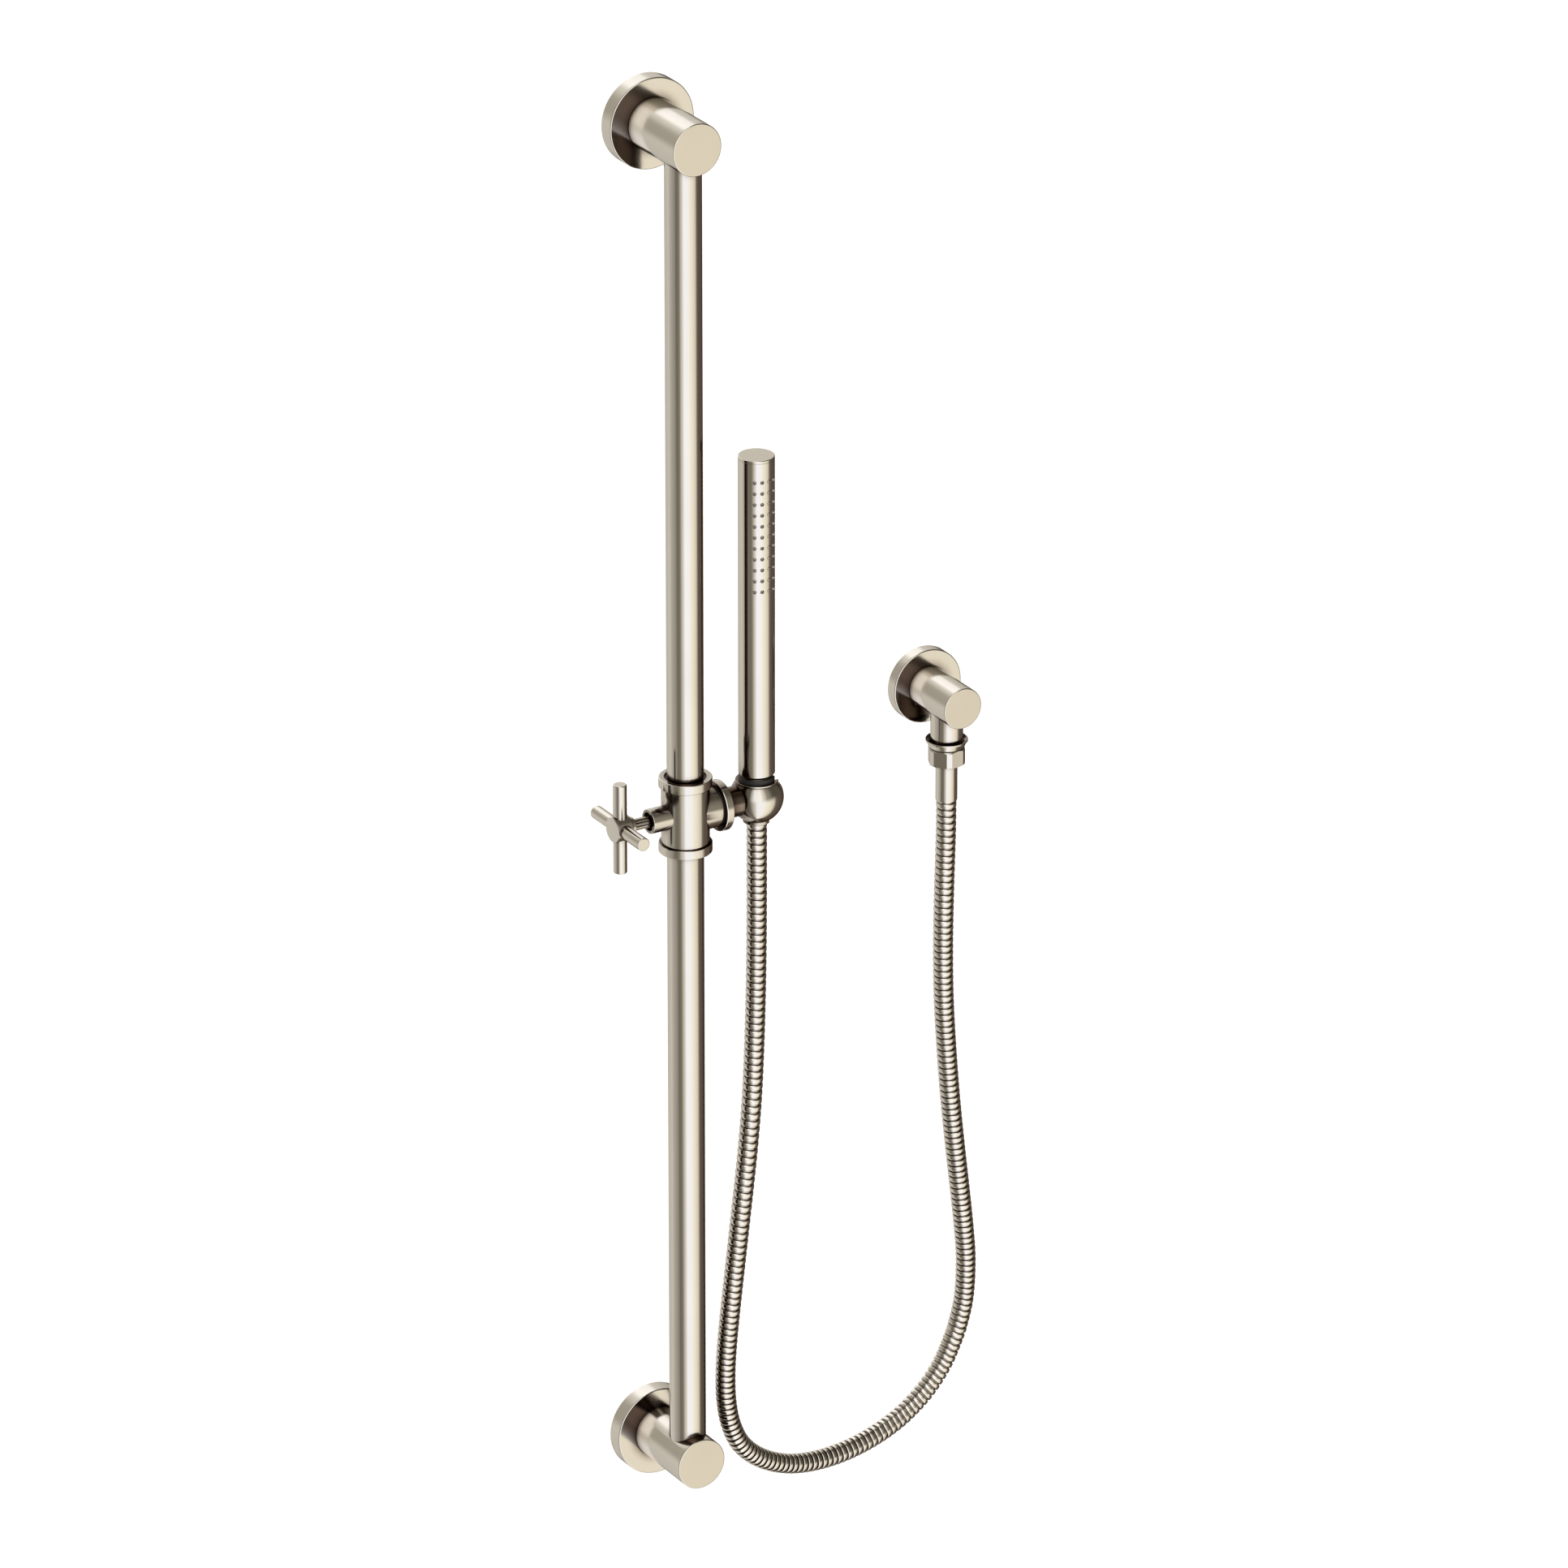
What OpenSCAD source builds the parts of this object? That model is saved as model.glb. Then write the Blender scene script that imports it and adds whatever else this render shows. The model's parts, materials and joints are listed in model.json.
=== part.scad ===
// Slide-rail hand shower set: rail on two wall posts, clamped slider with a ball holder,
// stick hand shower, hose and wall outlet elbow. Millimetres.
// The wall is the plane y = 0 and the room lies towards -y. z = 0 is the lower post's axis.

/* [Rail] */
// Distance between the axes of the two wall posts
post_spacing = 960; // [900:10:1020]
// Outer diameter of the rail
rail_d = 25; // [24:0.5:26]
// Wall thickness of the rail tube
rail_wall = 1.2; // [0.8:0.1:2]
// Distance from the wall to the rail's axis
rail_reach = 52; // [50:1:56]
// How far each end of the rail goes past its post's axis
rail_end = 11; // [8:1:12]

/* [Wall posts] */
// Diameter of a wall post
post_d = 36.5; // [35:0.5:40]
// Solid metal of a post in front of the rail
post_nose = 6.5; // [4:0.5:10]
// Wall thickness of the hollow rear of a post
post_wall = 5; // [4:0.5:6]
// Diameter of the round flange that hides a post's bracket
flange_d = 63.5; // [62:0.5:70]
// Depth of that flange
flange_t = 12; // [10:1:14]
// Sheet thickness of the flanges
flange_wall = 1.6; // [1:0.1:2.5]
// Thickness of the pad between a rail's end and its post
rail_pad_t = 2; // [1:0.5:3]
// Depth of the spigot that a post slides over
spigot_len = 24; // [22:1:28]
// Thickness of a wall bracket's plate
bracket_t = 4; // [3:0.5:5]
// Gap between a wall bracket's plate and the flange round it
bracket_gap = 2.15; // [1:0.05:3]
// Metal left between a wall screw hole and the bracket's edge
screw_edge = 2.25; // [1.5:0.05:3]
// Diameter of a wall screw hole
screw_hole_d = 5.5; // [4.5:0.5:6]
// Diameter of the set screws
set_screw_d = 5; // [4:0.5:6]
// Distance of the set screws from the wall
set_screw_y = 18; // [16:1:20]

/* [Slider] */
// Height of the slider's axis above the lower post, as stored
slider_z = 481; // [460:1:520]
// Height of the slider over both collars
slider_h = 54; // [52:1:60]
// Outer diameter of the slider's body
slider_d = 32.8; // [32:0.2:34]
// Outer diameter of the two collars
collar_d = 36.4; // [36:0.2:38]
// Height of a collar
collar_h = 6.5; // [6:0.1:8]
// Thickness of a collar's lip over the bush
collar_lip = 1.3; // [1:0.1:2]
// Radial thickness of the guide bushes
bush_t = 2.35; // [2:0.05:2.4]
// How far a bush reaches into the slider's body
bush_deep = 4; // [3:0.5:6]
// How far a collar screws over the body's end
collar_grip = 2; // [1.5:0.1:2.5]

/* [Clamp] */
// Distance from the rail's axis to the end of the clamp boss
clamp_boss_x = 28.8; // [28:0.2:30]
// Diameter of the clamp boss
clamp_boss_d = 17; // [16:0.5:20]
// Diameter of the clamp screw
clamp_d = 8; // [7:0.5:8.5]
// Number of flutes on the clamp screw's stem
flutes = 10; // [8:1:14]
// Thickness of the brake pad behind its hollow face
pad_t = 4; // [3.5:0.1:5]
// Diameter of the brake pad
pad_d = 9; // [8:0.5:10]
// Distance from the rail's axis to the handle's arms
arms_x = 50.5; // [50:0.5:54]
// Length from tip to tip of two opposite arms
arms_span = 64; // [56:1:70]
// Diameter of an arm
arm_d = 9.3; // [8:0.1:10]
// Diameter of the handle's hub
hub_d = 17.4; // [17:0.1:20]
// Thickness of the hub's cap disc
hub_cap_t = 1; // [0.8:0.1:2]
// Diameter of the neck behind the hub
hub_neck_d = 12.4; // [11:0.2:14]
// Length of that neck
hub_neck_len = 3.4; // [2:0.1:5]

/* [Holder] */
// Distance from the rail's axis to the hand shower's axis
wand_x = 55.4; // [55:0.2:60]
// Distance from the rail's axis to the end of the pivot boss
pivot_boss_x = 22.2; // [22:0.1:23]
// Diameter of the pivot boss
pivot_boss_d = 28.4; // [26:0.2:29]
// Thickness of the friction washer
friction_t = 0.6; // [0.4:0.1:0.8]
// Diameter of the holder's disc
disc_d = 35; // [32:0.5:38]
// Thickness of the holder's disc
disc_t = 5.5; // [5:0.1:6]
// Diameter of the holder's ball
ball_d = 36.6; // [36:0.2:38]
// Height of the ball's rim above the pivot axis
rim_up = 12.8; // [12:0.2:13]
// Diameter of the flat rim
rim_d = 29.4; // [28:0.2:31]
// Thickness of the flat rim
rim_t = 1.2; // [1:0.1:2]
// Depth of the ball's short collar below the pivot axis
skirt_down = 18; // [17:0.1:20]
// Diameter of the neck between disc and ball
neck_d = 21; // [18:0.5:24]
// Width of the slot that the hose passes through
slot_w = 15.4; // [15:0.1:16]
// Thickness of the holder's liner
liner_t = 0.8; // [0.6:0.1:1]
// Diameter of the pivot screw's shoulder
pivot_d = 6; // [5:0.5:7]
// Thickness of the spring washer
spring_t = 0.8; // [0.6:0.1:1]

/* [Hand shower] */
// Diameter of the hand shower's tube
wand_d = 24.8; // [24.6:0.1:26]
// Length of the hand shower with its cap
wand_len = 231; // [220:1:250]
// Wall thickness of the hand shower's tube
wand_wall = 1.2; // [1:0.1:1.4]
// Gap between the holder's rim and the end of the tube
wand_gap = 3.5; // [3:0.1:5]
// Thickness of the top cap
cap_t = 2; // [1.5:0.1:4]
// Rows of nozzles
nozzle_rows = 11; // [8:1:12]
// Columns of nozzles
nozzle_cols = 4; // [3:1:5]
// Distance between rows of nozzles
nozzle_pitch = 7.85; // [7.5:0.05:8]
// Angle between columns of nozzles
nozzle_step = 24; // [18:1:24]
// Distance from the top of the cap to the first row
nozzle_top = 15.4; // [15:0.1:20]
// Diameter of a nozzle tip
nozzle_d = 2.6; // [2:0.1:3]
// How far a nozzle tip stands proud of the tube
nozzle_proud = 0.7; // [0.4:0.1:1]
// Wall thickness of the waterway tube
waterway_wall = 1.6; // [1.2:0.1:2]

/* [Threads and hose ends] */
// Outer diameter of the half-inch threads
thread_d = 20.8; // [20.6:0.1:21]
// Length of the hand shower's thread
wand_thread_len = 8.8; // [8:0.1:10]
// Thickness of the flat sealing washers
washer_t = 2; // [1.5:0.1:2.5]
// Outer diameter of the cone nut's straight part
cone_nut_d = 22.4; // [22.3:0.1:22.6]
// Diameter of the cone nut's small end
cone_tip_d = 17.8; // [17:0.1:18]
// Thickness of a hose tail's flange
tail_flange_t = 2; // [1.5:0.1:3]
// Diameter of the water passage through the hose tails
tail_bore_d = 8; // [6:0.5:9]

/* [Outlet elbow] */
// Distance from the rail's axis to the elbow's axis, along the wall
elbow_x = 216; // [200:1:260]
// Height of the elbow above the lower post
elbow_z = 511; // [490:1:540]
// Diameter of the elbow's post
elbow_d = 29.4; // [29:0.1:32]
// Distance from the wall to the front of the elbow
elbow_reach = 55; // [53:1:60]
// Diameter of the elbow's flange
elbow_flange_d = 53; // [48:1:60]
// Depth of the elbow's flange
elbow_flange_t = 9; // [8:0.5:12]
// Distance from the wall to the axis of the down tube
drop_y = 34; // [32:0.5:36]
// Diameter of the down tube
drop_d = 22.4; // [22:0.1:24]
// Distance from the elbow's axis to the top of the flared ring
ring_down = 29.2; // [28:0.2:34]
// Diameter of the flared ring
ring_d = 29.2; // [28:0.2:32]
// Height of the flared ring
ring_h = 5.2; // [5:0.1:6]
// Diameter of the inlet bore at the wall, for a half-inch pipe thread
inlet_d = 19; // [18.6:0.1:19.2]
// Depth of the inlet bore
inlet_len = 14; // [12:1:16]
// Diameter of the water passage
water_d = 12; // [10:0.5:14]
// Diameter of the check valve's cartridge
valve_d = 14; // [13:0.5:15]
// Height of the check valve's cartridge
valve_h = 11; // [9:0.5:12]
// Distance across the flats of the hose nut
nut_af = 24; // [23.6:0.1:26]
// Height of the hose nut
nut_h = 11.7; // [11.5:0.1:14]
// Turn of the hose nut about its axis
nut_turn = 8; // [0:1:59]
// Diameter of the hose's ferrule
ferrule_d = 15; // [14.6:0.1:16]
// Length of the ferrule
ferrule_len = 28.4; // [24:0.2:34]

/* [Hose] */
// Outer diameter of the hose
hose_d = 14; // [13.6:0.1:14.4]

/* [Hidden] */
$fn = 64;

// Clearances
slip = 0.05;         // radial gap of a fit that turns, slides or is pushed together
cone_gap = 0.3;      // gap between the cone nut and its liner
end_play = 0.05;     // gap at each end of a bush
over = 1;            // how far a cut runs past the metal it cuts

// Sections and places that follow from the sizes above
rail_r = rail_d / 2;
post_reach = rail_reach + rail_r + slip + post_nose;
spigot_r = post_d / 2 - post_wall - slip;
bracket_d = flange_d - 2 * (flange_wall + bracket_gap);
screw_pcd = bracket_d - screw_hole_d - 2 * screw_edge;
post_edge = 0.8;     // chamfer round the front of a post
flange_edge = 0.9;   // chamfer round the front of a flange

body_r = slider_d / 2;
bush_r = rail_r + slip + bush_t;
slider_bore_r = rail_r + 0.7;
collar_open_r = bush_r - 0.9;
slider_top = slider_h / 2;
body_top = slider_top - collar_h + collar_grip;
bush_top = slider_top - collar_lip - end_play;
bush_bottom = body_top - bush_deep + end_play;

pad_back = rail_r + slip + pad_t;
pad_travel = 1.25;   // one turn of the clamp screw's thread
clamp_recess_d = clamp_d + 4.8;
clamp_recess = 4;
stem_end = arms_x - arm_d / 2 - 1.4 - hub_neck_len;
hub_back = stem_end + hub_neck_len;
hub_front = arms_x + arm_d / 2 + 0.45;
arm_seat = 5.8;      // distance of an arm's inner end from the hub's axis
hub_bore_r = 3;
hub_screw_d = 4;
hub_screw_head_d = 7;
hub_pocket_r = 5;
hub_floor = arms_x - 0.5;

disc_x = pivot_boss_x + friction_t;
disc_front = disc_x + disc_t;
neck_spigot = 2;     // how far the ball's neck goes into the disc
neck_spigot_r = neck_d / 2 - 3.5;
spring_x = wand_x - ball_d / 2 + 0.5;
pivot_head_d = 9.2;
pivot_head_t = 2.6;
pivot_thread_d = 5;
pivot_thread_end = rail_r + 2;
rim_z = slider_z + rim_up;
skirt_z = slider_z - skirt_down;
skirt_wall = 1.5;             // wall of the ball's collar round the hose
wand_z = rim_z + wand_gap;
wand_top = wand_z + wand_len;
cone_r = cone_nut_d / 2;
cone_start = rim_z - 5.8;     // where the cone nut starts to narrow
seat_z = skirt_z + 5.8;       // where the cone nut's flat end rests
seat_t = 0.8;
hose_gap = 0.9;               // room round the hose in the holder
hose_hole_r = hose_d / 2 + hose_gap;
liner_top = wand_z - 0.3;     // just short of the hand shower's tube
liner_in_r = cone_r + cone_gap;
liner_out_r = liner_in_r + liner_t;
ball_bore_r = liner_out_r + slip;
liner_seat_r = cone_tip_d / 2 + cone_gap;
wand_thread_z = wand_z - wand_thread_len;
tail_top = wand_thread_z - washer_t;
tail_ledge = tail_top - tail_flange_t;
tail_r = 6.2;                 // radius of a hose tail below its flange
tail_flange_r = thread_d / 2 - 0.4;
thread_hole_r = thread_d / 2 + slip;

wand_r = wand_d / 2;
wand_bore_r = wand_r - wand_wall;
wand_lip = 2.2;               // thickness of the tube's closed lower end
wand_edge = 1.5;              // chamfer round the tube's lower end
cap_z = wand_top - cap_t;
panel_margin = 3.4;           // rubber beyond the outer nozzles
cap_plug = nozzle_top - panel_margin - cap_t - 1;
plug_r = wand_bore_r - slip;
inlet_plug = 14.5;            // length of the water inlet inside the tube
inlet_top = wand_z + wand_lip + inlet_plug;
restrictor_r = 8;
restrictor_t = 3;
restrictor_z = wand_z + wand_lip + 5.5;
waterway_r = plug_r - 1.85;
waterway_z = restrictor_z + restrictor_t;
waterway_top = cap_z - cap_plug;
seal_r = 0.65;                // section of the O-rings
nozzle_first = wand_top - nozzle_top;
nozzle_last = nozzle_first - (nozzle_rows - 1) * nozzle_pitch;
panel_side = 14;              // degrees of rubber beyond the outer nozzles
panel_half = nozzle_step * (nozzle_cols - 1) / 2 + panel_side;
jet_d = 0.9;

ring_top = elbow_z - ring_down;
drop_end = ring_top - 1.5;
nut_top = ring_top - ring_h - 0.8;
nut_z = nut_top - nut_h;
nut_web = 1.5;                // floor of the hose nut, under the tail's flange
outlet_tail_z = nut_z + nut_web;
elbow_thread_end = outlet_tail_z + tail_flange_t + washer_t;
ferrule_z = nut_z - ferrule_len;
ferrule_bore_r = 5.6;
outlet_tail_r = ferrule_bore_r - slip;
valve_top = elbow_thread_end + valve_h;
valve_seal_z = elbow_thread_end + 3;

// The hose, from the ferrule at the elbow to the cone nut of the hand shower
riser_points = [[216, -34, 435.7], [215.6, -34.3, 410], [214.2, -34.8, 370], [213.4, -35.2, 330],
    [214, -35.4, 290], [216.6, -35.2, 250], [220, -34.9, 212], [224.2, -34.6, 175],
    [228.6, -34.3, 140], [232.4, -34, 108], [234.2, -34, 82], [232.6, -34, 53], [226.4, -34.4, 30]];
loop_route = [[226.4, -34.4, 30], [215, -35.2, 8], [198, -36.8, -10.5], [175, -38.8, -25],
    [146, -41.3, -34], [115, -44, -36.6], [86, -46.6, -32.4], [62, -48.7, -21.5],
    [44.5, -50.3, -6], [35.2, -51.2, 12], [31, -51.6, 32]];
drop_points = [[31, -51.6, 32], [30.2, -51.8, 55], [31.8, -51.9, 80], [35, -52, 110],
    [38.6, -52, 140], [42.2, -52, 170], [45.8, -52, 200], [49, -52, 230], [51.6, -52, 262],
    [53.4, -52, 300], [54.6, -52, 340], [55.2, -52, 380], [55.4, -52, 425], [55.4, -52, 468.8]];
hose_sides = 12;

nickel = [0.78, 0.73, 0.66];
nylon = [0.16, 0.15, 0.15];
brass = [0.72, 0.6, 0.32];
rubber = [0.13, 0.13, 0.13];
plastic = [0.85, 0.85, 0.83];
steel = [0.72, 0.72, 0.72];

// A cylinder that stands out of the wall, from depth a to depth b
module out_of_wall(a, b, d, d2 = undef) {
    translate([0, -a, 0])
        rotate([90, 0, 0])
            cylinder(h = b - a, d1 = d, d2 = is_undef(d2) ? d : d2);
}

// A cylinder along x, from a to b
module across(a, b, d, d2 = undef) {
    translate([a, 0, 0])
        rotate([0, 90, 0])
            cylinder(h = b - a, d1 = d, d2 = is_undef(d2) ? d : d2);
}

// A cylinder along z, from a to b
module upright(a, b, r, r2 = undef) {
    translate([0, 0, a])
        cylinder(h = b - a, r1 = r, r2 = is_undef(r2) ? r : r2);
}

// An O-ring that lies flat at height z, with its outside at radius r
module o_ring(z, r) {
    translate([0, 0, z])
        rotate_extrude()
            translate([r - seal_r, 0])
                circle(r = seal_r, $fn = 24);
}

// The places that pieces are built round
module at_rail() translate([0, -rail_reach, 0]) children();
module at_slider() translate([0, -rail_reach, slider_z]) children();
module at_wand() translate([wand_x, -rail_reach, 0]) children();
module at_elbow() translate([elbow_x, 0, elbow_z]) children();
module at_drop() translate([elbow_x, -drop_y, 0]) children();
module at_top_post() translate([0, 0, post_spacing]) mirror([0, 0, 1]) children();

// ---- Rail and wall posts ----

module rail_tube() color(nickel) at_rail() difference() {
    upright(-rail_end, post_spacing + rail_end, rail_r);
    upright(-rail_end - over, post_spacing + rail_end + over, rail_r - rail_wall);
}

// A post whose rail bore opens upwards
module post() difference() {
    union() {
        out_of_wall(bracket_t, post_reach - post_edge, post_d);
        out_of_wall(post_reach - post_edge, post_reach, post_d, post_d - 2 * post_edge);
    }
    out_of_wall(bracket_t - over, spigot_len + 1, 2 * (spigot_r + slip));
    at_rail() upright(-rail_end - rail_pad_t, post_d, rail_r + slip);
}

// The hole for a post's set screw, on the room's lower side
module set_screw_hole() translate([0, -set_screw_y, -post_d / 2 - over])
    cylinder(h = post_wall + over + 0.5, d = set_screw_d + 2 * slip);

module upper_post() color(nickel) difference() {
    at_top_post() post();
    translate([0, 0, post_spacing]) set_screw_hole();
}

module lower_post() color(nickel) difference() {
    post();
    set_screw_hole();
}

// A hollow round flange of diameter d and depth t, with a hole for what passes through it
module flange(d, t, hole_d) difference() {
    union() {
        out_of_wall(0, t - flange_edge, d);
        out_of_wall(t - flange_edge, t, d, d - 2 * flange_edge);
    }
    out_of_wall(-over, t - flange_wall, d - 2 * flange_wall);
    out_of_wall(0, t + over, hole_d + 2 * slip);
}

module upper_wall_flange() color(nickel) translate([0, 0, post_spacing])
    flange(flange_d, flange_t, post_d);

module lower_wall_flange() color(nickel) flange(flange_d, flange_t, post_d);

module wall_bracket() difference() {
    union() {
        out_of_wall(0, bracket_t, bracket_d);
        out_of_wall(bracket_t, spigot_len, 2 * spigot_r);
    }
    for (turn = [90 : 120 : 330])
        rotate([0, turn, 0])
            translate([screw_pcd / 2, 0, 0])
                out_of_wall(-over, bracket_t + over, screw_hole_d);
}

module upper_wall_bracket() color(brass) translate([0, 0, post_spacing]) wall_bracket();

module lower_wall_bracket() color(brass) wall_bracket();

module rail_pad() at_rail() upright(-rail_end - rail_pad_t, -rail_end, rail_r);

module upper_rail_pad() color(nylon) at_top_post() rail_pad();

module lower_rail_pad() color(nylon) rail_pad();

module set_screw() translate([0, -set_screw_y, -post_d / 2 + 0.6]) difference() {
    cylinder(h = post_wall - 0.6, d = set_screw_d);
    translate([0, 0, -over]) cylinder(h = 2.5 + over, d = set_screw_d / 2, $fn = 6);
}

module post_set_screws() color(steel) {
    set_screw();
    translate([0, 0, post_spacing]) set_screw();
}

// ---- Outlet elbow ----

module elbow_body() color(nickel) difference() {
    union() {
        at_elbow() out_of_wall(0, elbow_reach - post_edge, elbow_d);
        at_elbow() out_of_wall(elbow_reach - post_edge, elbow_reach, elbow_d, elbow_d - 2 * post_edge);
        at_drop() upright(drop_end, elbow_z, drop_d / 2);
        at_drop() upright(elbow_thread_end, drop_end, thread_d / 2);
    }
    at_elbow() out_of_wall(-over, inlet_len, inlet_d);
    at_elbow() out_of_wall(0, drop_y, water_d);
    at_drop() upright(elbow_thread_end - over, elbow_z, water_d / 2);
    at_drop() upright(elbow_thread_end - over, valve_top, valve_d / 2 + slip);
}

module elbow_flange() color(nickel) at_elbow() flange(elbow_flange_d, elbow_flange_t, elbow_d);

module check_valve() color(plastic) at_drop() difference() {
    upright(elbow_thread_end, valve_top, valve_d / 2);
    upright(elbow_thread_end - over, valve_top - 2, valve_d / 2 - 2);
    for (turn = [0 : 60 : 300])
        rotate([0, 0, turn])
            translate([valve_d / 4 - 0.5, 0, valve_top - 3])
                cylinder(h = 3 + over, d = 1.8, $fn = 12);
    difference() {
        upright(valve_seal_z, valve_seal_z + 1.6, valve_d);
        upright(valve_seal_z - over, valve_seal_z + 1.6 + over, valve_d / 2 - 2 * seal_r - slip);
    }
}

module check_valve_seal() color(rubber) at_drop() o_ring(valve_seal_z + 0.8, valve_d / 2);

module outlet_ring() color(nickel) at_drop() difference() {
    union() {
        upright(ring_top - 1.2, ring_top, ring_d / 2);
        upright(ring_top - ring_h, ring_top - 1.2, ring_d / 2 - 2.2, ring_d / 2 - 0.6);
    }
    upright(ring_top - ring_h - over, ring_top, thread_hole_r);
    upright(drop_end, ring_top, drop_d / 2 + slip, ring_d / 2 - 1);
}

module outlet_washer() color(rubber) at_drop() difference() {
    upright(elbow_thread_end - washer_t, elbow_thread_end, tail_flange_r);
    upright(elbow_thread_end - washer_t - over, elbow_thread_end + over, tail_bore_d / 2 + 0.5);
}

module outlet_hose_tail() color(brass) at_drop() difference() {
    union() {
        upright(outlet_tail_z, outlet_tail_z + tail_flange_t, tail_flange_r);
        upright(ferrule_z, outlet_tail_z, outlet_tail_r);
    }
    upright(ferrule_z - over, elbow_thread_end, tail_bore_d / 2);
}

module hose_nut() color(nickel) at_drop() difference() {
    intersection() {
        rotate([0, 0, -90 - 30 + nut_turn])
            upright(nut_z, nut_top, nut_af / 2 / cos(30), $fn = 6);
        union() {
            upright(nut_z, nut_top - 1, nut_af / 2 + 0.9);
            upright(nut_top - 1, nut_top, nut_af / 2 + 0.9, nut_af / 2);
        }
    }
    upright(outlet_tail_z, nut_top + over, thread_hole_r);
    upright(nut_z - over, outlet_tail_z + over, ferrule_bore_r);
}

module hose_ferrule() color(nickel) at_drop() difference() {
    union() {
        upright(ferrule_z + 1, nut_z, ferrule_d / 2);
        upright(ferrule_z, ferrule_z + 1, ferrule_d / 2 - 0.4, ferrule_d / 2);
    }
    upright(ferrule_z - over, nut_z + over, ferrule_bore_r);
}

// ---- Hose ----

function unit(v) = v / norm(v);

// Direction of the route at point i
function heading(p, i) = unit(p[min(i + 1, len(p) - 1)] - p[max(i - 1, 0)]);

// One ring of the tube, square to the route; the first and last ring may be held level
function tube_ring(c, dir) =
    let (side = unit(cross(dir, [0, 1, 0])), up = cross(side, dir))
    [for (k = [0 : hose_sides - 1])
        c + hose_d / 2 * (cos(k * 360 / hose_sides) * side + sin(k * 360 / hose_sides) * up)];

// A point on the curve through four neighbours, at share t between the middle two
function curve_point(a, b, c, d, t) =
    0.5 * (2 * b + (c - a) * t + (2 * a - 5 * b + 4 * c - d) * t * t
        + (3 * b - a - 3 * c + d) * t * t * t);

// The route with one more point between each two, on a smooth curve
function smooth_route(p) = [
    for (i = [0 : len(p) - 2])
        for (t = [0, 0.5])
            curve_point(p[max(i - 1, 0)], p[i], p[i + 1], p[min(i + 2, len(p) - 1)], t),
    p[len(p) - 1]];

// Points led to a new first point; the move fades out towards the last one
function led_from(p, place) =
    let (n = len(p) - 1)
    [for (i = [0 : n]) p[i] + (place - p[0]) * (1 - i / n)];

// Points led to a new last point; the move fades in from the first one
function led_to(p, place) =
    let (n = len(p) - 1)
    [for (i = [0 : n]) p[i] + (place - p[n]) * i / n];

riser_route = led_from(riser_points, [elbow_x, -drop_y, ferrule_z]);
drop_route = led_to(drop_points, [wand_x, -rail_reach, seat_z]);

module hose_tube(route, first, last) {
    p = smooth_route(route);
    n = len(p);
    rings = [for (i = [0 : n - 1])
        tube_ring(p[i], i == 0 ? first : i == n - 1 ? last : heading(p, i))];
    points = [for (r = rings) for (q = r) q];
    sides = [for (i = [0 : n - 2]) for (k = [0 : hose_sides - 1])
        let (a = i * hose_sides + k, b = i * hose_sides + (k + 1) % hose_sides)
        [a, b, b + hose_sides, a + hose_sides]];
    cap_a = [for (k = [hose_sides - 1 : -1 : 0]) k];
    cap_b = [for (k = [0 : hose_sides - 1]) (n - 1) * hose_sides + k];
    polyhedron(points, concat([cap_a], sides, [cap_b]));
}

riser_join = unit(loop_route[1] - riser_route[len(riser_route) - 2]);
drop_join = unit(drop_route[1] - loop_route[len(loop_route) - 2]);

module hose_riser() color(steel) hose_tube(riser_route, [0, 0, -1], riser_join);

module hose_loop() color(steel) hose_tube(loop_route, riser_join, drop_join);

module hose_drop() color(steel) hose_tube(drop_route, drop_join, [0, 0, 1]);

// ---- Slider ----

module bush() difference() {
    upright(bush_bottom, bush_top, bush_r);
    upright(bush_bottom - over, bush_top + over, rail_r + slip);
}

module upper_bush() color(nylon) at_slider() bush();

module lower_bush() color(nylon) at_slider() mirror([0, 0, 1]) bush();

module slider_body() color(nickel) at_slider() difference() {
    union() {
        upright(-body_top, body_top, body_r);
        across(-clamp_boss_x, 0, clamp_boss_d);
        across(0, pivot_boss_x, pivot_boss_d);
    }
    upright(-body_top - over, body_top + over, slider_bore_r);
    upright(body_top - bush_deep, body_top + over, bush_r + slip);
    upright(-body_top - over, -body_top + bush_deep, bush_r + slip);
    across(-clamp_boss_x - over, -clamp_boss_x + clamp_recess, clamp_recess_d);
    across(-clamp_boss_x, 0, clamp_d + 2 * slip);
    across(-pad_back - pad_travel - 0.4, 0, pad_d + 2 * slip);
    across(pivot_thread_end, pivot_boss_x + over, pivot_thread_d + 2 * slip);
}

module collar() difference() {
    upright(slider_top - collar_h, slider_top, collar_d / 2);
    upright(slider_top - collar_h - over, body_top, body_r + slip);
    upright(body_top - over, slider_top - collar_lip, bush_r + slip);
    upright(slider_top - collar_lip - over, slider_top + over, collar_open_r);
}

module upper_collar() color(nickel) at_slider() collar();

module lower_collar() color(nickel) at_slider() mirror([0, 0, 1]) collar();

module pivot_screw() color(steel) at_slider() difference() {
    union() {
        across(pivot_thread_end + 0.5, pivot_boss_x, pivot_thread_d);
        across(pivot_boss_x, spring_x + spring_t, pivot_d);
        across(spring_x + spring_t, spring_x + spring_t + pivot_head_t, pivot_head_d);
    }
    across(spring_x + spring_t, spring_x + spring_t + pivot_head_t + over, 4, $fn = 6);
}

// ---- Clamp and cross handle ----

module brake_pad() color(nylon) at_slider() difference() {
    across(-pad_back, 0, pad_d);
    upright(-pad_d, pad_d, rail_r + slip);
}

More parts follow.
